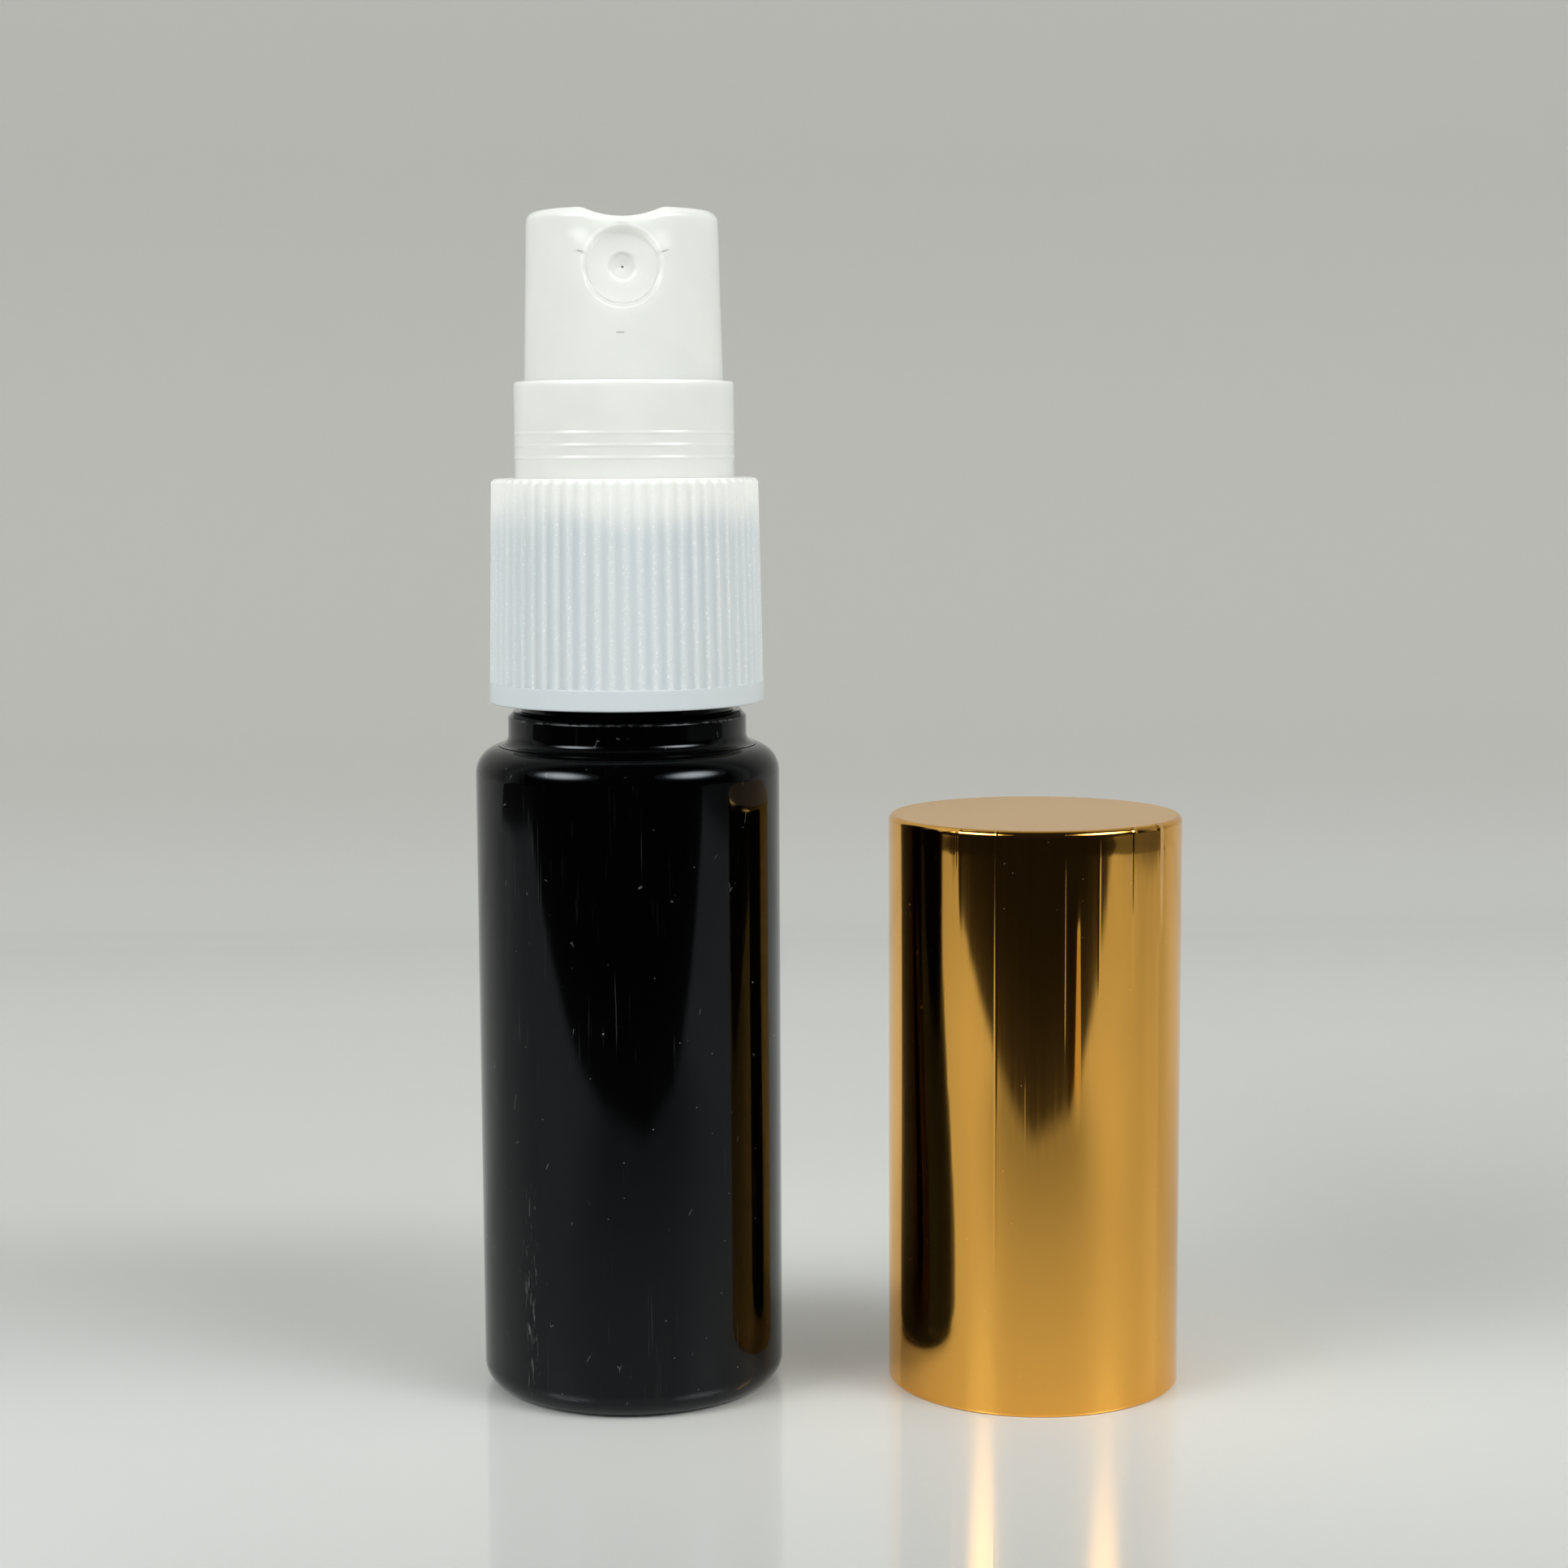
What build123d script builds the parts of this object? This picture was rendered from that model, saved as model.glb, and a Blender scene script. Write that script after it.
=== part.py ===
from build123d import *
from math import sqrt, tan, radians
import os

# Fine-mist spray bottle with a crimpless screw pump and a lift-off overcap, in millimetres.
# The bottle stands on Z = 0 with its axis on Z, and the nozzle looks along -Y.

# ---- Driving dimensions ----

# Bottle body
bottle_diameter = 22.7
shoulder_height = 48.7          # floor to the flat at the foot of the neck
shoulder_flat = 0.05            # flat left between the shoulder's round and the neck's foot
base_corner_radius = 1.8
bottle_wall = 1.2
base_thickness = 1.4
base_ring_width = 1.6           # flat ring that the bottle stands on
push_up_depth = 0.9
push_up_flat_share = 0.45       # flat middle of the push-up, of its radius

# Neck with an 18 mm screw finish
thread_diameter = 17.8          # over the thread, and over the bead at the foot of the neck
thread_depth = 1.0
neck_height = 15.5
neck_wall = 1.6
neck_bead_height = 2.5
neck_bead_chamfer = 0.4
neck_foot_chamfer = 0.45
mouth_chamfer = 0.3

# Screw collar
collar_wall = 1.2               # radial, outside its bore at the plain band
collar_draft = 1.14             # degrees
collar_foot_gap = 0.67          # above the neck bead
collar_band_height = 1.5
collar_top_thickness = 1.45
collar_slope_height = 0.3       # sloping edge at its top
collar_slope_width = 0.5
thread_gap = 0.1                # radial, collar bore over the thread
rib_count = 60
rib_groove_share = 0.5          # of each rib's pitch
rib_groove_depth = 0.22

# Gasket
gasket_thickness = 0.8
gasket_margin = 0.2             # radial, inside the collar's thread

# Pump turret
turret_diameter = 16.24
turret_wall = 0.6
turret_rise = 7.05              # above the collar
turret_floor = 1.0
turret_chamfer = 0.2
turret_hole_gap = 0.13          # radial, in the collar's hole
turret_flange_gap = 0.15        # radial, in the collar's bore
turret_bead_height = 0.12
turret_bead_width = 0.42
turret_bead_count = 3
turret_bead_pitch = 0.89
turret_bead_rise = 1.49         # lowest bead above the collar
guide_wall = 0.8
guide_depth = 5.0               # stem guide below the turret's flange
plug_wall = 0.7                 # ring that plugs the housing

# Pump housing
bore_diameter = 6.8
housing_wall = 0.8
housing_flange_thickness = 1.0
head_clearance = 1.1            # radial, housing head in the neck's bore
plug_gap = 0.05                 # radial, turret plug in the housing head
vent_diameter = 0.8

# Inlet valve
ball_diameter = 2.5
ball_lift = 0.5
ball_side_gap = 0.35            # radial, in its chamber
ball_seat_gap = 0.02
lug_reach = 0.25                # how far each cage lug stands in over the ball
lug_thickness = 0.4
lug_width = 0.7
lug_count = 3
inlet_hole_diameter = 1.6
inlet_hole_length = 0.8

# Dip tube
tube_diameter = 3.0
tube_wall = 0.6
tube_socket_depth = 6.0
tube_socket_wall = 0.8
tube_floor_gap = 0.5
tube_cut_angle = 30.0           # degrees, slanted lower end

# Stem, rod, piston and return spring
stem_diameter = 4.0
stem_wall = 1.0
stem_head_wall = 0.6            # shoulder of the stem that stops under the guide
stem_head_height = 0.9
running_gap = 0.05              # radial, stem in its guide, piston and button
stop_gap = 0.05                 # stem shoulder under the guide
stroke = 4.0
valve_slip = 0.5                # how far the stem moves before it takes the piston along
valve_spare = 0.1
piston_sleeve_wall = 0.6
piston_sleeve_length = 2.8
piston_web = 0.6
piston_skirt_wall = 0.5
piston_skirt_below = 1.0        # lower lip below the web
piston_skirt_above = 2.0        # upper lip above the web
piston_lip_height = 0.8
piston_relief = 0.2
piston_bore_gap = 0.02          # radial, lips in the housing bore
web_hole_gap = 0.35             # radial, liquid passage round the rod
press_gap = 0.02                # radial, pressed-in pins and inserts
rod_pin_length = 5.5
rod_flute_count = 3
rod_flute_width = 0.5
rod_flute_depth = 0.4
rod_head_gap = 0.45             # radial, rod head in the piston's lower lip
rod_head_height = 1.5
rod_cone_height = 0.5
rod_seat_gap = 0.03
spring_pin_length = 1.5
spring_pin_gap = 0.3            # radial, centring pin in the spring
spring_pin_chamfer = 0.35
spring_wire = 0.45
spring_side_gap = 1.1           # radial, spring in the housing bore
spring_spare = 2.1              # left when the spring is pressed to the end of the stroke
spring_turns = 5
wire_sides = 6                  # the fine wire's section is drawn with flats
spring_end_gap = 0.02

# Press button
button_rise = 12.3              # above the turret
button_skirt_gap = 0.19         # radial, in the turret
button_floor_gap = 0.9          # button over the turret's floor at the end of the stroke
button_draft = 1.445            # degrees
button_edge_radius = 0.75
button_wall = 0.95
button_top_thickness = 1.2
dip_depth = 0.7
dip_radius = 6.3
dip_blend_radius = 1.6
hub_wall = 0.95
hub_drop = 1.0                  # hub's end below the turret's top
stem_top_gap = 0.1

# Nozzle
nozzle_rise = 8.0               # above the turret's top
insert_diameter = 5.1
insert_length = 2.8
insert_face_thickness = 0.7
insert_wall = 1.05
insert_set_back = 0.75          # face behind the button's front
recess_margin = 0.1             # radial, visible recess round the insert
recess_depth = 1.2
nozzle_boss_wall = 0.95
dimple_diameter = 1.9
dimple_depth = 0.3
pinhole_diameter = 0.3
swirl_diameter = 1.4
swirl_depth = 0.2
feed_diameter = 1.0

# Overcap
overcap_x = 30.5                # where the overcap stands beside the bottle
overcap_y = -1.46
overcap_wall = 0.4
overcap_top_thickness = 0.5
overcap_step = 0.35             # radial, shell inside the bottle's outline
overcap_headroom = 3.22         # above the button when it is on
overcap_chamfer = 0.35
liner_gap = 0.04                # radial, glued in the shell
liner_wall = 0.6
liner_plate = 0.9
liner_grip_gap = 0.15           # radial, over the turret
liner_grip_wall = 0.8
liner_collar_gap = 0.3          # above the collar when it is on

# ---- Sizes and heights worked out from them ----

bottle_radius = bottle_diameter / 2
thread_radius = thread_diameter / 2
neck_radius = thread_radius - thread_depth
mouth_radius = neck_radius - neck_wall
shoulder_radius = bottle_radius - thread_radius - neck_foot_chamfer - shoulder_flat
bead_top = shoulder_height + neck_bead_height
neck_top = shoulder_height + neck_height
push_up_radius = bottle_radius - base_corner_radius - base_ring_width
push_up_flat = push_up_radius * push_up_flat_share
inner_chamfer = max(shoulder_radius - bottle_wall, bottle_wall / 2)
floor_top = base_thickness + push_up_depth

gasket_top = neck_top + gasket_thickness
flange_top = gasket_top + housing_flange_thickness
floor_of_turret = flange_top + turret_floor
collar_top = floor_of_turret + collar_top_thickness
collar_foot = bead_top + collar_foot_gap
band_top = collar_foot + collar_band_height
collar_bore_radius = thread_radius + thread_gap
collar_radius = collar_bore_radius + collar_wall
collar_top_radius = collar_radius - (collar_top - band_top) * tan(radians(collar_draft))
gasket_radius = neck_radius + gasket_margin

turret_radius = turret_diameter / 2
turret_top = collar_top + turret_rise
turret_bore_radius = turret_radius - turret_wall
guide_end = flange_top - guide_depth

bore_radius = bore_diameter / 2
barrel_radius = bore_radius + housing_wall
head_radius = mouth_radius - head_clearance
head_bore_radius = head_radius - housing_wall
head_end = guide_end - housing_wall
stem_radius = stem_diameter / 2
guide_radius = stem_radius + running_gap

stem_head_top = guide_end - stop_gap
stem_head_bottom = stem_head_top - stem_head_height
sleeve_top = stem_head_bottom - valve_slip - valve_spare
web_top = sleeve_top - piston_sleeve_length
stem_end = web_top + valve_slip + 2 * valve_spare
web_bottom = web_top - piston_web
piston_end = web_bottom - piston_skirt_below
piston_top = web_top + piston_skirt_above
lip_radius = bore_radius - piston_bore_gap
skirt_bore_radius = lip_radius - piston_skirt_wall

stem_bore_radius = stem_radius - stem_wall
rod_radius = stem_bore_radius - press_gap
rod_head_radius = skirt_bore_radius - rod_head_gap
rod_head_top = web_bottom - rod_seat_gap
rod_head_bottom = rod_head_top - rod_head_height

spring_length = stroke + spring_turns * spring_wire + spring_spare
ball_radius = ball_diameter / 2
spring_foot = rod_head_bottom - spring_length
spring_radius = bore_radius - spring_side_gap - spring_wire / 2
chamber_radius = ball_radius + ball_side_gap
chamber_wall_radius = chamber_radius + housing_wall
lug_radius = ball_radius - lug_reach
lug_bottom = spring_foot - lug_thickness
ball_centre = lug_bottom - sqrt(ball_radius**2 - lug_radius**2) - ball_lift - ball_seat_gap
inlet_hole_radius = inlet_hole_diameter / 2
seat_bottom = ball_centre - (ball_radius + ball_seat_gap) * sqrt(2) + inlet_hole_radius
seat_top = seat_bottom + chamber_radius - inlet_hole_radius
cone_top = spring_foot - housing_wall / 2
socket_top = seat_bottom - inlet_hole_length
socket_end = socket_top - tube_socket_depth
tube_radius = tube_diameter / 2
socket_radius = tube_radius + press_gap
nipple_radius = socket_radius + tube_socket_wall
tube_end = floor_top + tube_floor_gap

button_radius = turret_bore_radius - button_skirt_gap
button_top = turret_top + button_rise
button_foot = floor_of_turret + stroke + button_floor_gap
cavity_top = button_top - dip_depth - button_top_thickness
cavity_radius = button_radius - button_wall
nozzle_height = turret_top + nozzle_rise
nozzle_front = button_radius - nozzle_rise * tan(radians(button_draft))
hub_radius = guide_radius + hub_wall
hub_end = turret_top - hub_drop

insert_radius = insert_diameter / 2
insert_face = nozzle_front - insert_set_back
insert_back = insert_face - insert_length
insert_bore_radius = insert_radius + press_gap
insert_cup_radius = insert_radius - insert_wall
post_radius = insert_cup_radius - press_gap
post_front = insert_face - insert_face_thickness - press_gap
recess_floor = nozzle_front - recess_depth
feed_height = nozzle_height - (insert_radius + insert_cup_radius) / 2
feed_radius = feed_diameter / 2
stem_top = feed_height - feed_radius - stem_top_gap
boss_radius = insert_bore_radius + nozzle_boss_wall

shell_radius = bottle_radius - overcap_step
shell_bore_radius = shell_radius - overcap_wall
shoulder_centre_radius = bottle_radius - shoulder_radius
seated_rim = (
    shoulder_height - shoulder_radius
    + sqrt(shoulder_radius**2 - (shell_bore_radius - shoulder_centre_radius) ** 2)
)
liner_top = button_top + overcap_headroom - seated_rim
overcap_height = liner_top + overcap_top_thickness
liner_foot = collar_top + liner_collar_gap - seated_rim
liner_radius = shell_bore_radius - liner_gap
grip_radius = turret_radius + liner_grip_gap


# ---- Helpers ----

def drum(radius, bottom, top, bore=0.0, mode=Mode.ADD, centre=(0, 0)):
    """Add or cut an upright cylinder, with a bore where one is given."""
    with BuildSketch(Plane((centre[0], centre[1], bottom))) as section:
        Circle(radius)
        if bore:
            Circle(bore, mode=Mode.SUBTRACT)
    extrude(section.sketch, amount=top - bottom, mode=mode)


def front_plane(distance):
    """The upright plane this far in front of the axis, centred on the nozzle and facing -Y."""
    return Plane((0, -distance, nozzle_height), x_dir=(1, 0, 0), z_dir=(0, -1, 0))


def save(builder, name):
    """Label the finished piece and write it."""
    builder.part.label = name
    export_step(builder.part, f"parts/{name}.step")


os.makedirs("parts", exist_ok=True)

# ---- Bottle ----

with BuildPart() as bottle:
    drum(bottle_radius, 0, shoulder_height)
    fillet(bottle.edges().group_by(Axis.Z)[-1], shoulder_radius)
    fillet(bottle.edges().group_by(Axis.Z)[0], base_corner_radius)
    drum(thread_radius, shoulder_height, bead_top)
    chamfer(bottle.edges().group_by(Axis.Z)[-1], neck_bead_chamfer)
    neck_foot = bottle.faces().filter_by(Plane.XY).sort_by(Axis.Z)[-2].edges().sort_by(SortBy.RADIUS)[0]
    chamfer(neck_foot, neck_foot_chamfer)
    drum(neck_radius, bead_top, neck_top)
    chamfer(bottle.edges().group_by(Axis.Z)[-1], mouth_chamfer)
    # The liquid's space, with a floor that follows the push-up and an open mouth
    with BuildSketch(Plane.XZ) as cavity:
        with BuildLine():
            inner_radius = bottle_radius - bottle_wall
            inner_shoulder = shoulder_height - bottle_wall
            Polyline(
                (0, floor_top),
                (push_up_flat, floor_top),
                (push_up_radius, base_thickness),
                (inner_radius, base_thickness),
                (inner_radius, inner_shoulder),
                (mouth_radius, inner_shoulder),
                (mouth_radius, neck_top),
                (0, neck_top),
                close=True,
            )
        make_face()
        chamfer(cavity.vertices().group_by(Axis.X)[-1], inner_chamfer)
    revolve(mode=Mode.SUBTRACT)
    # Push-up under the base
    with BuildSketch(Plane.XZ):
        with BuildLine():
            Polyline(
                (0, push_up_depth),
                (push_up_flat, push_up_depth),
                (push_up_radius, 0),
                (0, 0),
                close=True,
            )
        make_face()
    revolve(mode=Mode.SUBTRACT)
save(bottle, "bottle")

# ---- Screw collar ----

with BuildPart() as screw_collar:
    with BuildSketch(Plane.XZ):
        with BuildLine():
            Polyline(
                (0, collar_foot),
                (collar_radius, collar_foot),
                (collar_radius, band_top),
                (collar_top_radius, collar_top - collar_slope_height),
                (collar_top_radius - collar_slope_width, collar_top),
                (0, collar_top),
                close=True,
            )
        make_face()
    revolve()
    drum(collar_bore_radius, collar_foot, floor_of_turret, mode=Mode.SUBTRACT)
    drum(turret_radius + turret_hole_gap, floor_of_turret, collar_top, mode=Mode.SUBTRACT)
    # Grip: radial grooves that follow the drafted wall from the plain band to the top
    groove_angle = 360 / rib_count * rib_groove_share
    with BuildSketch(Plane.XZ.rotated((0, 0, -groove_angle / 2))):
        with BuildLine():
            Polyline(
                (collar_radius - rib_groove_depth, band_top),
                (collar_top_radius - rib_groove_depth, collar_top),
                (collar_radius, collar_top),
                (collar_radius, band_top),
                close=True,
            )
        make_face()
    groove = revolve(revolution_arc=groove_angle, mode=Mode.PRIVATE)
    with PolarLocations(0, rib_count):
        add(groove, mode=Mode.SUBTRACT)
save(screw_collar, "screw_collar")

# ---- Gasket ----

with BuildPart() as gasket:
    drum(gasket_radius, neck_top, gasket_top, bore=head_radius + press_gap)
save(gasket, "gasket")

# ---- Pump turret: flange, upstanding ring with grip beads, housing plug and stem guide ----

with BuildPart() as pump_turret:
    drum(collar_bore_radius - turret_flange_gap, flange_top, floor_of_turret)
    drum(turret_radius, floor_of_turret, turret_top)
    chamfer(pump_turret.edges().group_by(Axis.Z)[-1], turret_chamfer)
    drum(turret_bore_radius, floor_of_turret, turret_top, mode=Mode.SUBTRACT)
    plug_radius = head_bore_radius - plug_gap
    drum(plug_radius, guide_end, flange_top, bore=plug_radius - plug_wall)
    drum(guide_radius + guide_wall, guide_end, flange_top)
    drum(guide_radius, guide_end, floor_of_turret, mode=Mode.SUBTRACT)
    with BuildSketch(Plane.XZ):
        for bead in range(turret_bead_count):
            bead_height = collar_top + turret_bead_rise + bead * turret_bead_pitch
            with BuildLine():
                Polyline(
                    (turret_radius - turret_wall / 2, bead_height - turret_bead_width / 2),
                    (turret_radius, bead_height - turret_bead_width / 2),
                    (turret_radius + turret_bead_height, bead_height),
                    (turret_radius, bead_height + turret_bead_width / 2),
                    (turret_radius - turret_wall / 2, bead_height + turret_bead_width / 2),
                    close=True,
                )
            make_face()
    revolve()
save(pump_turret, "pump_turret")

# ---- Pump housing ----

with BuildPart() as pump_housing:
    drum(gasket_radius, gasket_top, flange_top)
    with BuildSketch(Plane.XZ):
        with BuildLine():
            Polyline(
                (0, socket_end),
                (nipple_radius, socket_end),
                (nipple_radius, socket_top),
                (chamber_wall_radius, seat_bottom),
                (chamber_wall_radius, cone_top - barrel_radius + chamber_wall_radius),
                (barrel_radius, cone_top),
                (barrel_radius, head_end - head_radius + barrel_radius),
                (head_radius, head_end),
                (head_radius, gasket_top),
                (0, gasket_top),
                close=True,
            )
        make_face()
    revolve()
    drum(head_bore_radius, guide_end - plug_gap, flange_top, mode=Mode.SUBTRACT)
    drum(bore_radius, spring_foot, guide_end, mode=Mode.SUBTRACT)
    drum(chamber_radius, seat_top, spring_foot, mode=Mode.SUBTRACT)
    drum(inlet_hole_radius, socket_top, seat_top, mode=Mode.SUBTRACT)
    drum(socket_radius, socket_end, socket_top, mode=Mode.SUBTRACT)
    # Conical seat of the ball
    with BuildSketch(Plane.XZ):
        with BuildLine():
            Polyline(
                (0, seat_bottom),
                (inlet_hole_radius, seat_bottom),
                (chamber_radius, seat_top),
                (0, seat_top),
                close=True,
            )
        make_face()
    revolve(mode=Mode.SUBTRACT)
    # Lugs that cage the ball under the spring
    with BuildSketch(Plane.XY.offset(lug_bottom)):
        with PolarLocations(lug_radius, lug_count):
            lug_length = chamber_radius - lug_radius + housing_wall / 2
            Rectangle(lug_length, lug_width, align=(Align.MIN, Align.CENTER))
    extrude(amount=lug_thickness)
    # Air vent that the piston covers at rest
    with BuildSketch(Plane.XZ):
        with Locations((0, (piston_end + piston_top) / 2)):
            Circle(vent_diameter / 2)
    extrude(amount=-2 * barrel_radius, mode=Mode.SUBTRACT)
save(pump_housing, "pump_housing")

# ---- Inlet ball ----

with BuildPart() as inlet_ball:
    with Locations((0, 0, ball_centre)):
        Sphere(ball_radius)
save(inlet_ball, "inlet_ball")

# ---- Dip tube, with a slanted lower end ----

with BuildPart() as dip_tube:
    drum(tube_radius, tube_end, socket_top, bore=tube_radius - tube_wall)
    cut_rise = tube_radius * tan(radians(tube_cut_angle))
    slant = Plane((0, 0, tube_end + cut_rise)).rotated((0, tube_cut_angle, 0))
    split(bisect_by=slant, keep=Keep.TOP)
save(dip_tube, "dip_tube")

# ---- Return spring ----

with BuildPart() as return_spring:
    coil_height = spring_length - spring_wire - 2 * spring_end_gap
    with BuildLine():
        coil = Helix(
            pitch=coil_height / spring_turns,
            height=coil_height,
            radius=spring_radius,
            center=(0, 0, spring_foot + spring_wire / 2 + spring_end_gap),
        )
    with BuildSketch(Plane(origin=coil @ 0, z_dir=coil % 0)):
        RegularPolygon(spring_wire / 2, wire_sides)
    sweep(is_frenet=True)
save(return_spring, "return_spring")

# ---- Piston: sleeve on the stem, web with the valve seat, two lips on the bore ----

with BuildPart() as piston:
    drum(guide_radius + piston_sleeve_wall, web_top, sleeve_top)
    with BuildSketch(Plane.XZ):
        with BuildLine():
            relief_radius = lip_radius - piston_relief
            Polyline(
                (0, web_bottom),
                (skirt_bore_radius, web_bottom),
                (skirt_bore_radius, piston_end),
                (lip_radius, piston_end),
                (lip_radius, piston_end + piston_lip_height / 2),
                (relief_radius, piston_end + piston_lip_height),
                (relief_radius, piston_top - piston_lip_height),
                (lip_radius, piston_top - piston_lip_height / 2),
                (lip_radius, piston_top),
                (lip_radius - piston_skirt_wall / 2, piston_top),
                (relief_radius - piston_skirt_wall / 2, web_top + piston_web / 2),
                (relief_radius - piston_skirt_wall / 2, web_top),
                (0, web_top),
                close=True,
            )
        make_face()
    revolve()
    drum(guide_radius, web_top, sleeve_top, mode=Mode.SUBTRACT)
    drum(rod_radius + web_hole_gap, web_bottom, web_top, mode=Mode.SUBTRACT)
save(piston, "piston")

# ---- Piston rod: fluted pin, conical valve head that is also the spring's seat, centring pin ----

with BuildPart() as piston_rod:
    drum(rod_radius, rod_head_top, rod_head_top + rod_pin_length)
    with BuildSketch(Plane.XY.offset(rod_head_top)):
        with PolarLocations(rod_radius, rod_flute_count):
            Rectangle(rod_flute_depth * 2, rod_flute_width)
    extrude(amount=rod_pin_length, mode=Mode.SUBTRACT)
    with BuildSketch(Plane.XZ):
        with BuildLine():
            Polyline(
                (0, rod_head_bottom),
                (rod_head_radius, rod_head_bottom),
                (rod_head_radius, rod_head_top - rod_cone_height),
                (rod_radius + web_hole_gap, rod_head_top),
                (0, rod_head_top),
                close=True,
            )
        make_face()
    revolve()
    pin_radius = spring_radius - spring_wire / 2 - spring_pin_gap
    drum(pin_radius, rod_head_bottom - spring_pin_length, rod_head_bottom)
    chamfer(piston_rod.edges().group_by(Axis.Z)[0], spring_pin_chamfer)
save(piston_rod, "piston_rod")

# ---- Stem ----

with BuildPart() as stem:
    drum(stem_radius, stem_end, stem_top)
    drum(stem_radius + stem_head_wall, stem_head_bottom, stem_head_top)
    drum(stem_bore_radius, stem_end, stem_top, mode=Mode.SUBTRACT)
save(stem, "stem")

# ---- Press button ----

# The hollow under the button, round its hub and its nozzle boss
with BuildPart() as button_hollow:
    drum(cavity_radius, button_foot, turret_top)
    with BuildSketch(Plane.XY.offset(turret_top)):
        Circle(cavity_radius)
    extrude(amount=cavity_top - turret_top, taper=button_draft)
    drum(hub_radius, hub_end, cavity_top, mode=Mode.SUBTRACT)
    with BuildSketch(front_plane(0)):
        Circle(boss_radius)
    extrude(amount=button_radius, mode=Mode.SUBTRACT)

with BuildPart() as actuator:
    drum(button_radius, button_foot, turret_top)
    with BuildSketch(Plane.XY.offset(turret_top)):
        Circle(button_radius)
    extrude(amount=button_rise + dip_depth, taper=button_draft)
    # The top is trimmed flat, with a finger dip from front to back that blends in at both sides
    blend_share = dip_depth / (dip_radius + dip_blend_radius)
    dip_turn_height = button_top - dip_depth + dip_radius * blend_share
    dip_turn_x = dip_radius * sqrt(2 * blend_share - blend_share**2)
    dip_edge_x = dip_turn_x * (dip_radius + dip_blend_radius) / dip_radius
    with BuildSketch(Plane.XZ.offset(-button_radius)):
        with BuildLine():
            dip = ThreePointArc(
                (-dip_turn_x, dip_turn_height),
                (0, button_top - dip_depth),
                (dip_turn_x, dip_turn_height),
            )
            TangentArc((dip_edge_x, button_top), dip @ 1, tangent=(-1, 0))
            TangentArc((-dip_edge_x, button_top), dip @ 0, tangent=(1, 0))
            Polyline(
                (dip_edge_x, button_top),
                (button_radius, button_top),
                (button_radius, button_top + 2 * dip_depth),
                (-button_radius, button_top + 2 * dip_depth),
                (-button_radius, button_top),
                (-dip_edge_x, button_top),
            )
        make_face()
    extrude(amount=2 * button_radius, mode=Mode.SUBTRACT)
    rim_height = button_top - 2 * dip_depth
    side = actuator.faces().sort_by(SortBy.AREA)[-1]
    fillet(side.edges().filter_by(lambda edge: edge.center().Z > rim_height), button_edge_radius)
    add(button_hollow.part, mode=Mode.SUBTRACT)
    # Socket of the stem, and the channel on to the nozzle
    drum(guide_radius, hub_end, stem_top + stem_top_gap, mode=Mode.SUBTRACT)
    drum(stem_bore_radius, stem_top, feed_height + feed_diameter, mode=Mode.SUBTRACT)
    with BuildSketch(Plane.XZ):
        with Locations((0, feed_height)):
            Circle(feed_radius)
    extrude(amount=insert_back, mode=Mode.SUBTRACT)
    # Seat of the nozzle insert, with the post that it sits on, and the visible recess
    with BuildSketch(front_plane(insert_back)):
        Circle(insert_bore_radius)
        Circle(post_radius, mode=Mode.SUBTRACT)
    extrude(amount=button_radius, mode=Mode.SUBTRACT)
    with BuildSketch(front_plane(post_front)):
        Circle(insert_bore_radius)
    extrude(amount=button_radius, mode=Mode.SUBTRACT)
    with BuildSketch(front_plane(recess_floor)):
        Circle(insert_radius + recess_margin)
    extrude(amount=button_radius, mode=Mode.SUBTRACT)
save(actuator, "actuator")

# ---- Nozzle insert: a cup with a swirl chamber, a pinhole and a dimple ----

with BuildPart() as nozzle_insert:
    with BuildSketch(front_plane(insert_back)):
        Circle(insert_radius)
    extrude(amount=insert_length)
    with BuildSketch(front_plane(insert_back)):
        Circle(insert_cup_radius)
    extrude(amount=insert_length - insert_face_thickness, mode=Mode.SUBTRACT)
    with BuildSketch(front_plane(insert_face - insert_face_thickness)):
        Circle(swirl_diameter / 2)
    extrude(amount=swirl_depth, mode=Mode.SUBTRACT)
    with BuildSketch(front_plane(insert_back)):
        Circle(pinhole_diameter / 2)
    extrude(amount=insert_length, mode=Mode.SUBTRACT)
    # Conical dimple round the pinhole
    with BuildSketch(front_plane(insert_face)):
        Circle(dimple_diameter / 2)
    with BuildSketch(front_plane(insert_face - dimple_depth)):
        Circle(pinhole_diameter / 2)
    loft(mode=Mode.SUBTRACT)
save(nozzle_insert, "nozzle_insert")

# ---- Overcap shell ----

overcap_centre = (overcap_x, overcap_y)

with BuildPart() as overcap_shell:
    drum(shell_radius, 0, overcap_height, centre=overcap_centre)
    chamfer(overcap_shell.edges().group_by(Axis.Z)[-1], overcap_chamfer)
    drum(shell_bore_radius, 0, liner_top, mode=Mode.SUBTRACT, centre=overcap_centre)
save(overcap_shell, "overcap_shell")

# ---- Overcap liner: outer sleeve, top plate, grip tube and the web that ties them at the foot ----

with BuildPart() as overcap_liner:
    drum(liner_radius, liner_foot, liner_top, bore=liner_radius - liner_wall, centre=overcap_centre)
    drum(liner_radius, liner_top - liner_plate, liner_top, centre=overcap_centre)
    drum(grip_radius + liner_grip_wall, liner_foot, liner_top, bore=grip_radius, centre=overcap_centre)
    drum(liner_radius, liner_foot, liner_foot + liner_wall, bore=grip_radius, centre=overcap_centre)
save(overcap_liner, "overcap_liner")
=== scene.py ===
from functools import partialmethod
from math import atan2, cos, hypot, pi, radians, sin, sqrt, tan

import bmesh
import bpy
from bpy.props import FloatProperty, FloatVectorProperty, IntProperty, PointerProperty
from mathutils import Euler, Matrix, Vector


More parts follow.
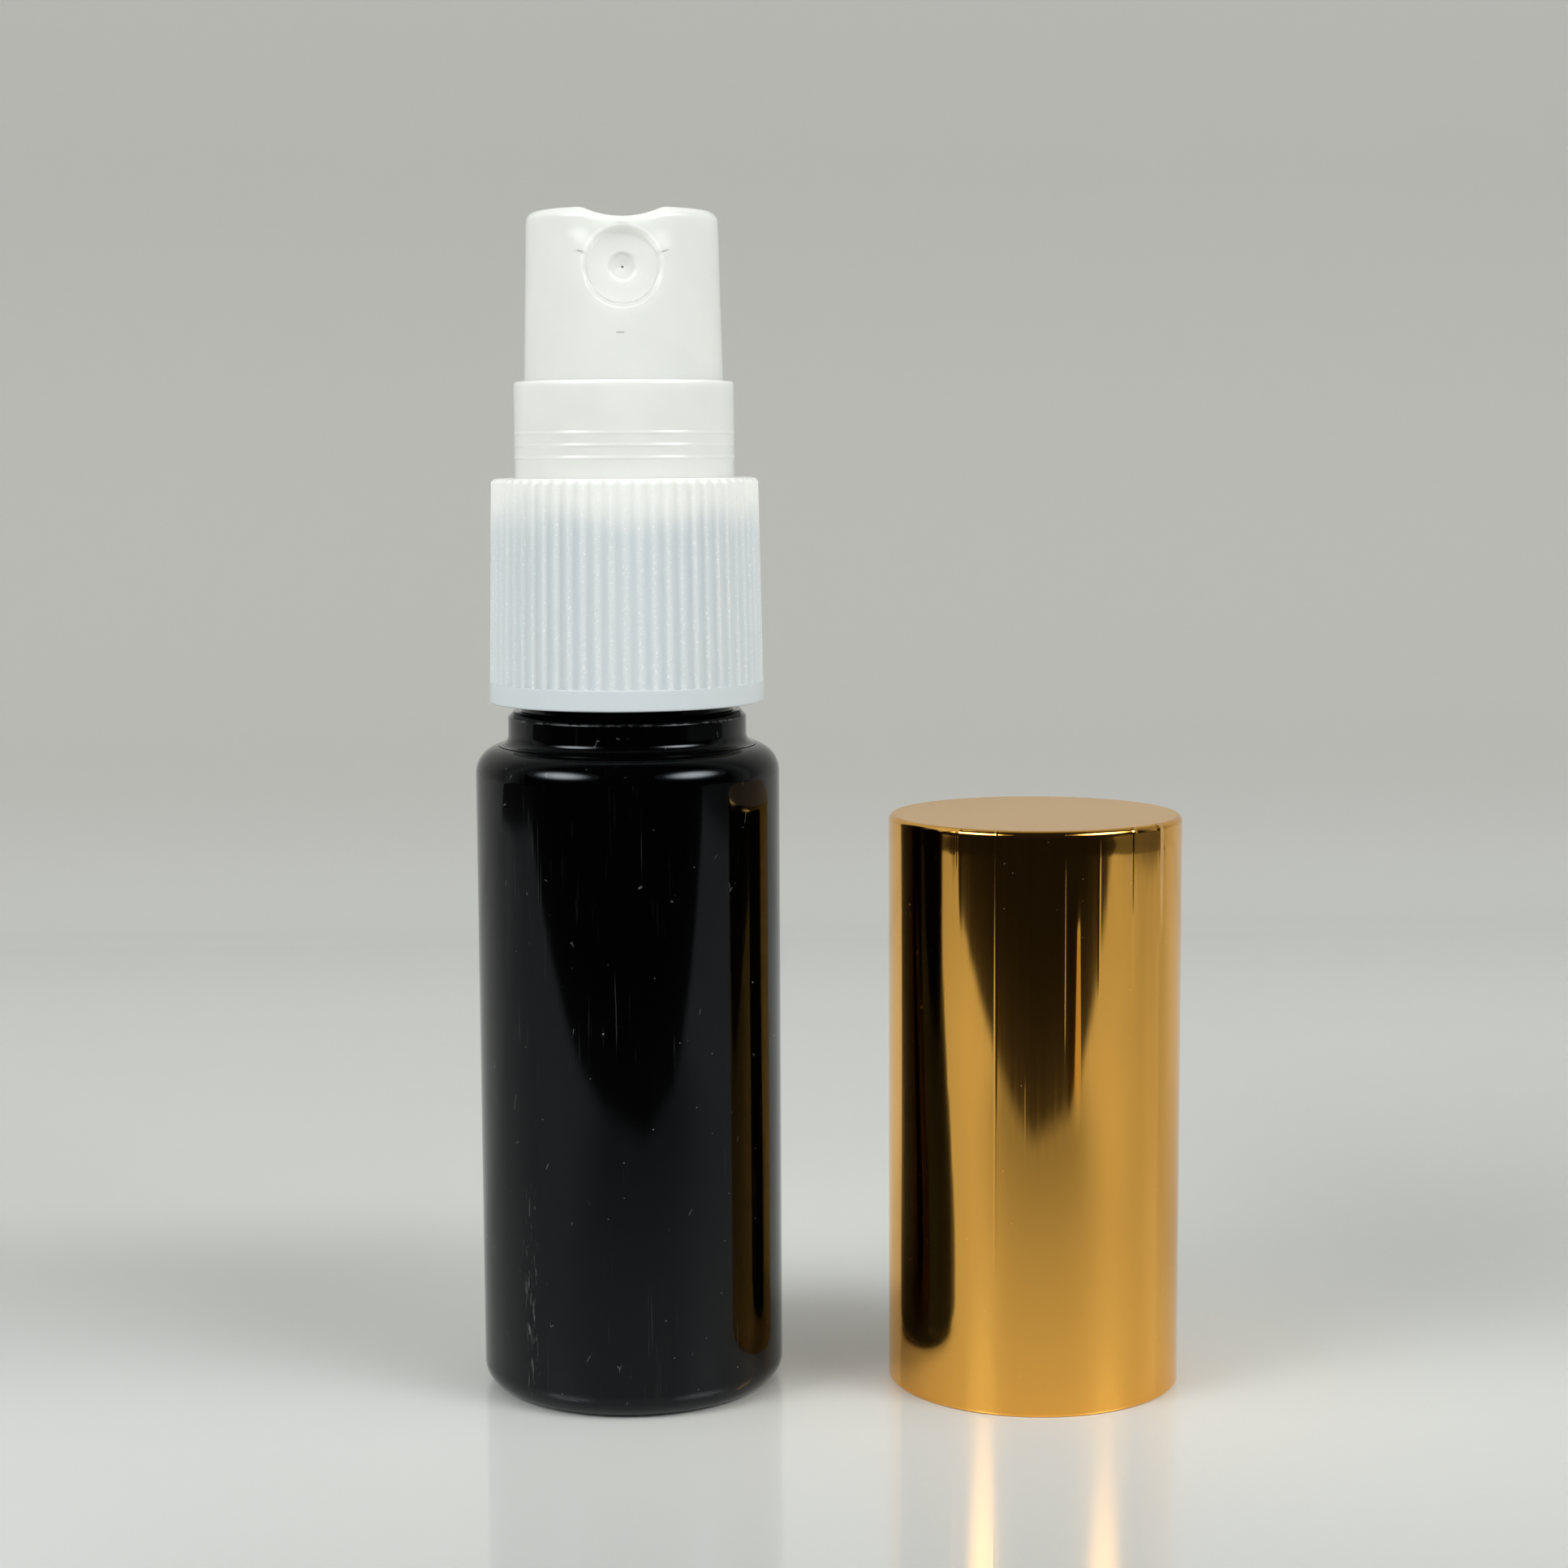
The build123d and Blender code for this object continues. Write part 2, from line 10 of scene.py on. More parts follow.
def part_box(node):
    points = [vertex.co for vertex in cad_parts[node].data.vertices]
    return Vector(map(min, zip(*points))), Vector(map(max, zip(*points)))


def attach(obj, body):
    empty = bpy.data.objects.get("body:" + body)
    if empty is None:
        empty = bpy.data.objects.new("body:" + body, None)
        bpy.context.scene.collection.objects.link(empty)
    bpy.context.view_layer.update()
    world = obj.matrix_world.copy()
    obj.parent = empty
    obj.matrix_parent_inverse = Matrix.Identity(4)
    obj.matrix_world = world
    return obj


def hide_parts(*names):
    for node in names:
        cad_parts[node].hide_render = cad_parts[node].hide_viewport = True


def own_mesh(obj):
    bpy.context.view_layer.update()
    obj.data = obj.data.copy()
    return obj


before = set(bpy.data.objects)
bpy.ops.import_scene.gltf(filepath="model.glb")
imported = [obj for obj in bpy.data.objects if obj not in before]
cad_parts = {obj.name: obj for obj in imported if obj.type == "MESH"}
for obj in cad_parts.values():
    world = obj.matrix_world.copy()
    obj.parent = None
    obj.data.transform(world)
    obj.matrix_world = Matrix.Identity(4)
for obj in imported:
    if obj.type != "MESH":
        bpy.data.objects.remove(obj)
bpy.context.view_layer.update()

bl_info = {
    "name": "Fine-Mist Spray Bottle",
    "version": (1, 0, 0),
    "blender": (4, 5, 0),
    "location": "3D View > Sidebar > Spray Bottle",
    "description": "Dresses a fine-mist spray bottle and its overcap in detailed surfaces",
    "category": "Object",
}

MM = 0.001

# Steps that the nodes' boxes don't show
FLANGE_STEP = 0.73 * MM  # flange out of the turret's ring
STEM_SHOULDER = 0.6 * MM  # shoulder out of the stem
RUNNING_GAP = 0.05 * MM  # guide round the stem


# ---- Places read from the frame ----

def node_top(node):
    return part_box(node)[1].z


def node_foot(node):
    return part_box(node)[0].z


def node_radius(node):
    low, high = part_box(node)
    return (high.x - low.x) / 2


def node_centre(node):
    low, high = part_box(node)
    return (low.x + high.x) / 2, (low.y + high.y) / 2


def node_middle(node):
    return (node_foot(node) + node_top(node)) / 2


def turret_radius():
    """Radius of the turret's ring, which the flange stands out of."""
    return node_radius("pump_turret") - FLANGE_STEP


def guide_radius():
    """Radius of the bore that the stem runs in."""
    return node_radius("stem") - STEM_SHOULDER + RUNNING_GAP


# ---- Sizes and colours ----

def number(name, description, default):
    return FloatProperty(name=name, description=description, default=default)


def angle(name, description, degrees):
    """An angle given in degrees."""
    return FloatProperty(name=name, description=description, default=radians(degrees), subtype="ANGLE")


def length(name, description, default):
    """A length given in millimetres, which the sidebar shows with its unit."""
    kind = {"precision": 5, "subtype": "DISTANCE", "unit": "LENGTH"}
    return FloatProperty(name=name, description=description, default=default * MM, **kind)


def colour(name, description, default):
    return FloatVectorProperty(
        name=name, description=description, default=default, size=3, min=0, max=1, subtype="COLOR"
    )


class BottleSizes(bpy.types.PropertyGroup):
    wall: length("Wall", "Thickness of the body's wall", 1.2)
    shoulder_height: length("Shoulder Height", "Floor to the foot of the neck", 48.7)
    shoulder_round: length("Shoulder Round", "Radius of the shoulder", 2.1)
    base_round: length("Base Round", "Radius at the foot of the body", 1.8)
    push_up: length("Push-Up", "Height of the hollow under the base", 0.9)
    ring_width: length("Standing Ring", "Width of the ring that the bottle stands on", 1.6)
    neck_wall: length("Neck Wall", "Thickness of the neck's wall", 1.6)
    thread_depth: length("Thread Depth", "How far the thread stands out of the neck", 1.0)
    thread_pitch: length("Thread Pitch", "Rise of one turn of the thread", 3.175)
    thread_turns: number("Thread Turns", "Turns of the neck's thread", 1.5)
    bead_height: length("Neck Bead", "Height of the bead at the foot of the neck", 2.5)
    plastic: colour("Plastic", "Colour of the bottle", (0.0004, 0.0004, 0.0005))
    dust: colour("Dust", "Colour of the dust and scuffs on the bottle", (0.26, 0.27, 0.27))


class CollarSizes(bpy.types.PropertyGroup):
    rib_count: IntProperty(name="Ribs", description="Grip ribs round the collar", default=60)
    rib_depth: length("Rib Depth", "Depth of the grooves between the ribs", 0.22)
    band_height: length("Plain Band", "Height of the plain band at the foot", 1.5)
    draft: angle("Draft", "Draft of the ribbed wall", 1.14)
    wall: length("Wall", "Thickness of the collar's wall", 1.2)
    top_thickness: length("Top Thickness", "Thickness of the collar's top", 1.45)
    hole_gap: length("Hole Gap", "Gap between the collar's hole and the turret", 0.13)
    plastic: colour("Plastic", "Colour of the collar where it is thickest", (0.67, 0.695, 0.68))
    thin_plastic: colour("Thin Plastic", "Colour where the dark neck shows through", (0.545, 0.598, 0.614))


class TurretSizes(bpy.types.PropertyGroup):
    wall: length("Wall", "Thickness of the turret's ring", 0.6)
    bead_count: IntProperty(name="Beads", description="Fine beads round the turret", default=3)
    bead_height: length("Bead Height", "How far each bead stands out", 0.038)
    bead_pitch: length("Bead Pitch", "Height from one bead to the next", 0.89)
    bead_rise: length("Bead Rise", "Height of the lowest bead above the collar", 1.49)
    flange: length("Flange", "Thickness of the turret's flange", 1.0)
    guide_wall: length("Guide Wall", "Thickness of the stem's guide", 0.8)
    plug_radius: length("Plug Radius", "Radius of the ring that plugs the housing", 4.35)
    plug_wall: length("Plug Wall", "Thickness of that ring", 0.7)
    plastic: colour("Plastic", "Colour of the turret and the press button", (0.712, 0.724, 0.695))


class ButtonSizes(bpy.types.PropertyGroup):
    draft: angle("Draft", "Draft above the turret", 1.445)
    edge_round: length("Edge Round", "Radius of the top edge", 0.75)
    wall: length("Wall", "Thickness of the button's wall", 0.95)
    top_thickness: length("Top Thickness", "Thickness under the finger dip", 1.2)
    dip_depth: length("Dip Depth", "Depth of the finger dip", 0.7)
    dip_radius: length("Dip Radius", "Radius across the dip", 6.3)
    dip_blend: length("Dip Blend", "Radius that blends the dip into the top", 1.6)
    hub_wall: length("Hub Wall", "Thickness round the stem", 0.95)
    mark_height: length("Mark Height", "Height of the fine moulding mark", 78.84)


class NozzleSizes(bpy.types.PropertyGroup):
    recess_depth: length("Recess Depth", "Depth of the recess round the insert", 1.2)
    recess_margin: length("Recess Margin", "Gap between the insert and the recess", 0.025)
    recess_round: length("Recess Round", "Width of the recess's soft edge", 0.40)
    boss_wall: length("Boss Wall", "Thickness of the boss behind the recess", 0.95)
    cup_wall: length("Cup Wall", "Thickness of the insert's skirt", 1.05)
    face_thickness: length("Face Thickness", "Thickness of the insert's face", 0.7)
    dimple_radius: length("Dimple Radius", "Radius of the dimple round the pinhole", 0.95)
    dimple_depth: length("Dimple Depth", "Depth of that dimple", 0.3)
    pinhole_radius: length("Pinhole Radius", "Radius of the pinhole", 0.1)


class OvercapSizes(bpy.types.PropertyGroup):
    wall: length("Wall", "Thickness of the metal shell", 0.4)
    top_thickness: length("Top Thickness", "Thickness of the shell's top", 0.5)
    rim_round: length("Rim Round", "Radius of the top edge", 0.45)
    foot_round: length("Foot Round", "Radius of the open rim", 0.15)
    line_turn: number("Line Turn", "Turn of the draw lines, in degrees", -7.8)
    gold: colour("Gold", "Colour of the anodised shell", (0.97, 0.50, 0.095))
    top_gold: colour("Top Gold", "Colour of the satin top", (0.95, 0.65, 0.34))


class StageSizes(bpy.types.PropertyGroup):
    lens: number("Lens", "Focal length in millimetres", 68.03)
    camera_place: FloatVectorProperty(
        name="Camera Place",
        description="Where the camera stands",
        default=(0, -0.22119, 0.07059),
        subtype="XYZ",
    )
    camera_pitch: angle("Pitch", "Camera's tilt down", 6.475)
    camera_yaw: angle("Yaw", "Camera's turn to the right", 3.03)
    camera_roll: angle("Roll", "Camera's roll", -0.293)
    board_front: length("Board Front", "Distance from the bottle to the board's front edge", 107.0)
    sweep_start: length("Sweep Start", "Distance behind the bottle where the backdrop rises", 200.0)
    sweep_round: length("Sweep Round", "Radius of the backdrop's sweep", 120.0)
    floor_colour: colour("Floor", "Colour of the floor", (0.638, 0.662, 0.645))
    wall_colour: colour("Backdrop", "Colour of the backdrop", (0.42, 0.42, 0.398))


# ---- Modelling helpers ----

def deselect_all():
    if bpy.context.mode != "OBJECT":
        bpy.ops.object.mode_set(mode="OBJECT")
    bpy.ops.object.select_all(action="DESELECT")


def make_active(piece):
    deselect_all()
    piece.select_set(True)
    bpy.context.view_layer.objects.active = piece


def edit(piece):
    """Enter edit mode on a piece with nothing selected."""
    make_active(piece)
    bpy.ops.object.mode_set(mode="EDIT")
    bpy.ops.mesh.select_mode(type="VERT")
    bpy.ops.mesh.select_all(action="DESELECT")


def leave_edit():
    bpy.ops.object.mode_set(mode="OBJECT")


def take_new(name):
    """The piece that was just added, under its name."""
    piece = bpy.context.object
    piece.name = name
    return piece


def everywhere(co):
    return True


def pick(piece, test):
    """Select, in edit mode, the vertices whose place passes the test."""
    mesh = bmesh.from_edit_mesh(piece.data)
    for vertex in mesh.verts:
        vertex.select = test(vertex.co)
    mesh.select_flush_mode()
    bmesh.update_edit_mesh(piece.data)


def place(piece, test, move):
    """Move the vertices whose place passes the test to where the move function puts them."""
    mesh = bmesh.from_edit_mesh(piece.data)
    for vertex in mesh.verts:
        if test(vertex.co):
            vertex.co = move(vertex.co)
    bmesh.update_edit_mesh(piece.data)


def close_skin():
    """Merge doubles on the closed piece in edit mode, turn its faces outwards and leave edit mode."""
    bpy.ops.mesh.select_all(action="SELECT")
    bpy.ops.mesh.remove_doubles(threshold=0.002 * MM)
    bpy.ops.mesh.normals_make_consistent(inside=False)
    if bmesh.from_edit_mesh(bpy.context.object.data).calc_volume(signed=True) < 0:
        bpy.ops.mesh.flip_normals()
    leave_edit()


def apply_screw(piece, turns, rise, steps):
    """Sweep the new piece's outline up a screw round the upright axis."""
    modifier = piece.modifiers.new("Screw", "SCREW")
    modifier.angle = 2 * pi * turns
    modifier.screw_offset = rise
    modifier.steps = steps
    modifier.render_steps = steps
    bpy.ops.object.modifier_apply(modifier=modifier.name)


def cap_ends(piece):
    """Close both ends of a swept piece."""
    edit(piece)
    bpy.ops.mesh.select_non_manifold()
    bpy.ops.mesh.fill_holes(sides=0)
    close_skin()


def spread(start, end, count):
    """Evenly spaced values from start to end."""
    return [start + (end - start) * index / count for index in range(count + 1)]


def rounded(corners, steps=6):
    """The points of an outline whose (across, up, round) corners may be rounded by arcs."""
    points = []
    for index, (across, up, radius) in enumerate(corners):
        corner = Vector((across, up))
        if radius == 0:
            points.append(corner)
            continue
        back = (Vector(corners[index - 1][:2]) - corner).normalized()
        ahead = (Vector(corners[index + 1][:2]) - corner).normalized()
        half_angle = back.angle(ahead) / 2
        reach = radius / tan(half_angle)
        middle = corner + (back + ahead).normalized() * radius / sin(half_angle)
        first = corner + back * reach - middle
        last = corner + ahead * reach - middle
        for step in range(steps + 1):
            share = step / steps
            turn = first.angle(last)
            arm = (first * sin((1 - share) * turn) + last * sin(share * turn)) / sin(turn)
            points.append(middle + arm)
    return points


def held(points, near=0.12 * MM):
    """Add a point near both ends of each long straight part, so that it shades straight."""
    full = [points[0]]
    for before, after in zip(points, points[1:]):
        step = after - before
        if step.length > 8 * near:
            full += [before + step.normalized() * near, after - step.normalized() * near]
        full.append(after)
    return full


def lathe(name, corners, sides=192, centre=(0, 0), steps=6):
    """Spin an outline of (radius, height, round) corners about an upright axis into a piece."""
    points = held(rounded(corners, steps))
    deselect_all()
    bpy.ops.mesh.primitive_plane_add(size=MM, location=(centre[0] + points[0].x, centre[1], points[0].y))
    piece = take_new(name)
    bpy.ops.object.transform_apply(location=True, rotation=False, scale=False)
    bpy.ops.object.mode_set(mode="EDIT")
    bpy.ops.mesh.select_mode(type="VERT")
    bpy.ops.mesh.select_all(action="SELECT")
    bpy.ops.mesh.merge(type="CENTER")
    for before, after in zip(points, points[1:]):
        step = after - before
        bpy.ops.mesh.extrude_region_move(TRANSFORM_OT_translate={"value": (step.x, 0, step.y)})
    bpy.ops.mesh.select_all(action="SELECT")
    bpy.ops.mesh.spin(steps=sides, angle=2 * pi, center=(centre[0], centre[1], 0), axis=(0, 0, 1))
    close_skin()
    return piece


def turn_to_front(piece, height):
    """Lay a lathed piece down, so that its axis points to -Y at this height."""
    make_active(piece)
    bpy.ops.object.mode_set(mode="EDIT")
    bpy.ops.mesh.select_all(action="SELECT")
    place(piece, everywhere, lambda co: Vector((co.x, -co.z, co.y + height)))
    bpy.ops.mesh.normals_make_consistent(inside=False)
    leave_edit()


def cut_out(piece, other):
    """Cut another piece out of this one and remove the other."""
    make_active(piece)
    modifier = piece.modifiers.new("Cut", "BOOLEAN")
    modifier.operation = "DIFFERENCE"
    modifier.solver = "EXACT"
    modifier.object = other
    bpy.ops.object.modifier_apply(modifier=modifier.name)
    bpy.data.objects.remove(other)


def smooth(piece, angle=35):
    make_active(piece)
    bpy.ops.object.shade_smooth_by_angle(angle=radians(angle))


def finish_piece(piece, body, material, slot, *nodes):
    """Give a finished piece its material and its body, and hide the nodes it stands for. The finish's slot is
    not used.
    """
    piece.data.materials.clear()
    piece.data.materials.append(material)
    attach(piece, body)
    if nodes:
        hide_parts(*nodes)


# ---- Materials ----
# Their patterns are measured in millimetres of the object's own coordinates.

def scaled(tint, share):
    return [value * share for value in tint]


class Value:
    """An output of a tree's nodes that can be used in sums like a number."""

    def __init__(self, nodes, socket):
        self.nodes = nodes
        self.socket = socket

    def work(self, operation, other=0.0):
        return self.nodes.add("ShaderNodeMath", "Value", {0: self, 1: other}, operation=operation)

    __add__ = partialmethod(work, "ADD")
    __sub__ = partialmethod(work, "SUBTRACT")
    __mul__ = partialmethod(work, "MULTIPLY")
    __truediv__ = partialmethod(work, "DIVIDE")
    __pow__ = partialmethod(work, "POWER")
    __abs__ = partialmethod(work, "ABSOLUTE")
    at_least = partialmethod(work, "MAXIMUM")
    exponent = partialmethod(work, "EXPONENT")
    turn_from = partialmethod(work, "ARCTAN2")

    def __rsub__(self, other):
        return self * -1.0 + other

    def span(self, low, high, start=0.0, end=1.0, interpolation="SMOOTHSTEP"):
        """Map low..high to start..end and hold the ends."""
        limits = {"Value": self, "From Min": low, "From Max": high, "To Min": start, "To Max": end}
        return self.nodes.add("ShaderNodeMapRange", "Result", limits, interpolation_type=interpolation)

    def fade(self, low, high, start=1.0):
        """Map low..high to start..0 and hold the ends."""
        return self.span(low, high, start, 0.0)

    def blend(self, first, second):
        """Mix two colours, the second one by this share."""
        return self.nodes.add("ShaderNodeMix", 2, {0: self, 6: first, 7: second}, data_type="RGBA")


class Nodes:
    """A node tree and the few steps that filling it needs."""

    def __init__(self, tree):
        self.tree = tree

    def fill(self, socket, value):
        """Link a value to a socket, or set the socket to a number, colour or vector."""
        if isinstance(value, Value):
            self.tree.links.new(value.socket, socket)
        else:
            socket.default_value = (*value[:3], 1) if socket.type == "RGBA" else value

    def node(self, kind, inputs=None, **settings):
        node = self.tree.nodes.new(kind)
        for key, value in settings.items():
            setattr(node, key, value)
        for key, value in (inputs or {}).items():
            self.fill(node.inputs[key], value)
        return node

    def add(self, kind, output, inputs=None, **settings):
        """Add a node and return one of its outputs as a value."""
        return Value(self, self.node(kind, inputs, **settings).outputs[output])

    def split(self, vector):
        """The three parts of a vector or colour."""
        parts = self.node("ShaderNodeSeparateXYZ", {"Vector": vector}).outputs
        return [Value(self, part) for part in parts]


class Shader(Nodes):
    """A material with the patterns that its finish is made of."""

    def __init__(self, name):
        self.material = bpy.data.materials.new(name)
        self.material.use_nodes = True
        super().__init__(self.material.node_tree)
        self.surface = self.tree.nodes["Principled BSDF"]

    def place(self, stretch=(1, 1, 1), move=(0, 0, 0)):
        """Object coordinates in millimetres, stretched and moved."""
        coordinates = self.add("ShaderNodeTexCoord", "Object")
        inputs = {"Vector": coordinates, "Scale": [value / MM for value in stretch], "Location": move}
        return self.add("ShaderNodeMapping", "Vector", inputs)

    def noise(self, scale, detail=2.0, roughness=0.5, stretch=(1, 1, 1)):
        inputs = {"Vector": self.place(stretch), "Scale": scale, "Detail": detail, "Roughness": roughness}
        return self.add("ShaderNodeTexNoise", "Fac", inputs)

    def specks(self, scale, size, share):
        """Round specks in a few of the cells of a pattern, from (inner, outer) size and share."""
        cells = self.node("ShaderNodeTexVoronoi", {"Vector": self.place(), "Scale": scale})
        chance = self.split(Value(self, cells.outputs["Color"]))[0]
        return Value(self, cells.outputs["Distance"]).fade(*size) * chance.span(*share)

    def reach(self, across, up):
        """Distance from the axis at two distances across it."""
        return (across ** 2.0 + up ** 2.0) ** 0.5

    def bump(self, height, strength, distance):
        inputs = {"Height": height, "Strength": strength, "Distance": distance}
        return self.add("ShaderNodeBump", "Normal", inputs)

    def set(self, **values):
        """Set or link the surface's sockets, by names with underscores for spaces."""
        for key, value in values.items():
            self.fill(self.surface.inputs[key.replace("_", " ")], value)


def bottle_plastic(sizes, edge_height):
    """Glossy black plastic with scratches, hairs, dust, a rubbed streak and a scuffed bead on the neck."""
    shader = Shader("black_gloss_plastic")
    across, depth, up = shader.split(shader.place())
    streaks = shader.noise(6.0, 4.0, 0.6, stretch=(1, 1, 0.02))
    scratches = streaks.span(0.60, 0.74) * shader.noise(0.35, 3.0, stretch=(1, 1, 0.35)).span(0.48, 0.68)
    hairs = shader.add(
        "ShaderNodeTexVoronoi",
        "Distance",
        {"Vector": shader.place((1, 1, 0.6)), "Scale": 0.42},
        feature="DISTANCE_TO_EDGE",
    )
    hairs = hairs.fade(0.004, 0.012) * shader.noise(0.9, 1.0).span(0.68, 0.72)
    rubbed = abs(across + 7.5).fade(0.1, 0.7) * abs(up - 9.0).fade(5.0, 9.0, 0.3) * depth.fade(-2.0, 0.0)
    rubbed = rubbed * shader.noise(5.0, 3.0, 0.65, stretch=(1, 1, 0.12)).span(0.54, 0.68)
    coarse_dust = shader.specks(0.55, (0.025, 0.05), (0.84, 0.85))
    fine_dust = shader.specks(1.7, (0.035, 0.07), (0.93, 0.94))
    worn_edge = abs(up - edge_height / MM).fade(0.02, 0.10, 0.22)
    worn_edge = worn_edge * shader.noise(1.6, 3.0, 0.6).span(0.42, 0.60)
    scuff = scratches * 0.09
    for mark in (hairs * 0.25, rubbed, coarse_dust, fine_dust, worn_edge):
        scuff = scuff.at_least(mark)
    waves = shader.noise(0.14, stretch=(1, 1, 0.12))
    shader.set(
        Base_Color=scuff.blend(sizes.plastic, sizes.dust),
        Roughness=scuff.span(0.0, 1.0, 0.06, 0.5, "LINEAR"),
        Specular_IOR_Level=0.28,
        Specular_Tint=(0.87, 0.94, 1.0),
        IOR=1.5,
        Normal=shader.bump(waves * 0.03 + streaks * 0.0004, 1.0, MM),
    )
    return shader.material


def white_plastic(name, base, through=0.0, mark=None, recess=None):
    """Milky plastic, with an optional moulding mark (across, height) and recess (across, height, radius);
    painted glow brightens its corners, or the ring round a recess, which also gets painted shade and painted
    light patches.
    """
    shader = Shader(name)
    across, depth, up = shader.split(shader.place())
    front = depth.fade(-3.0, -2.0)
    deeper = [value * share for value, share in zip(base, (0.965, 0.975, 0.975))]
    clouds = shader.noise(0.25)
    tone = clouds.span(0.35, 0.65).blend(base, deeper)
    if mark:
        dash = abs(across - mark[0] / MM).fade(0.22, 0.34) * abs(up - mark[1] / MM).fade(0.03, 0.075)
        tone = (dash * front).blend(tone, (0.42, 0.43, 0.40))
    # Painted glow: emission brightens the corners, or the upper part of a recess's ring, standing in for
    # light that comes through the thin plastic
    if recess:
        middle, height, edge = (value / MM for value in recess)
        across, up = across - middle, up - height
        reach = shader.reach(across, up)
        ring = reach.span(edge - 0.1, edge + 0.08) * reach.fade(edge + 0.3, edge + 0.6) * front
        painted_glow = ring * up.span(-0.5, 2.4, 0.0, 0.17)
        # Painted shade: the lower part of the recess's ring is darkened
        tone = (ring * up.fade(-2.4, 0.5, 0.45)).blend(tone, scaled(base, 0.72))
        # Painted light: pale patches beside the recess, standing in for light gathered through the plastic
        for aside, above, share in ((-3.1, 2.4, 0.6), (-2.75, 1.9, 0.5), (2.8, 1.6, 0.35), (2.75, 2.2, 0.35)):
            painted_light_patch = shader.reach(across - aside, (up - above) * 1.58).fade(0.0, 1.1, share)
            tone = (painted_light_patch * front).blend(tone, (0.88, 0.90, 0.88))
    else:
        corners = shader.add("ShaderNodeAmbientOcclusion", "AO", {"Distance": 1.1 * MM}, samples=8)
        painted_glow = (1.0 - corners) * through
    shader.set(
        Base_Color=tone,
        Roughness=clouds.span(0.3, 0.7, 0.19, 0.25),
        IOR=1.49,
        Subsurface_Weight=0.6,
        Subsurface_Radius=(1.0, 1.0, 0.95),
        Subsurface_Scale=1.3 * MM,
        Emission_Color=(1.0, 1.0, 0.97),
        Emission_Strength=painted_glow,
        Normal=shader.bump(shader.noise(14.0), 0.05, 0.01 * MM),
    )
    return shader.material


def collar_plastic(sizes, foot, top, foot_radius):
    """Milky plastic that looks bluish where the dark neck shows through it, with painted highlights on the
    rib crests, painted shade in the grooves and painted glints.
    """
    shader = Shader("ribbed_white_plastic")
    across, depth, up = shader.split(shader.place())
    uneven_up = up + (shader.noise(0.22) - 0.5) * 2.2
    whiter = uneven_up.span(top / MM - 4.4, top / MM - 1.0)
    drafted = shader.reach(across, depth) + (up - foot / MM) * tan(sizes.draft)
    crest = drafted.span(foot_radius / MM - 0.16, foot_radius / MM - 0.02)
    # Painted highlight and shade: the crests are lighter, partly because the plastic is thicker there, the
    # grooves a little darker, and the crests' light is broken up along their length
    shaded_groove_tone = scaled(sizes.thin_plastic, 0.99)
    lit_crest_tone = [value + (white - value) * 0.42 for value, white in zip(sizes.thin_plastic, sizes.plastic)]
    broken_crest_light = shader.noise(0.9, 3.0, stretch=(1, 1, 0.12)).span(0.35, 0.7, 0.45, 1.0)
    grain = shader.noise(7.0, 3.0, 0.6)
    band_top = (foot + sizes.band_height) / MM
    ribbed = up.span(band_top, band_top + 0.1)
    tone = ribbed.blend(sizes.thin_plastic, (crest * broken_crest_light).blend(shaded_groove_tone, lit_crest_tone))
    tone = whiter.blend(tone, (0.75, 0.765, 0.735))
    # Painted glints: bright flecks on the rib crests
    painted_glints = grain.span(0.58, 0.66) * crest * ribbed
    shader.set(
        Base_Color=(painted_glints * 0.6).blend(tone, (0.86, 0.88, 0.88)),
        Roughness=0.42,
        IOR=1.49,
        Subsurface_Weight=0.25,
        Subsurface_Radius=(1.0, 1.0, 1.0),
        Subsurface_Scale=0.5 * MM,
        Normal=shader.bump(grain * ribbed, 0.12, 0.02 * MM),
    )
    return shader.material


# Draw lines in the overcap's side: degrees from its front, width, height, foot and top in millimetres
REDDISH_REFLECTION_LINE = 15.4
DRAW_LINES = (
    (-30, 0.30, 0.030, 34, 43),
    (-14.7, 0.15, 0.026, 8, 42),
    (-3, 0.12, 0.016, 18, 24),
    (11.4, 0.10, 0.022, 24, 40),
    (REDDISH_REFLECTION_LINE, 0.50, 0.075, 20, 36),
    (25, 0.14, 0.030, 30, 40),
    (41, 0.30, 0.050, 30, 42),
    (56, 0.50, 0.100, 33, 42),
)


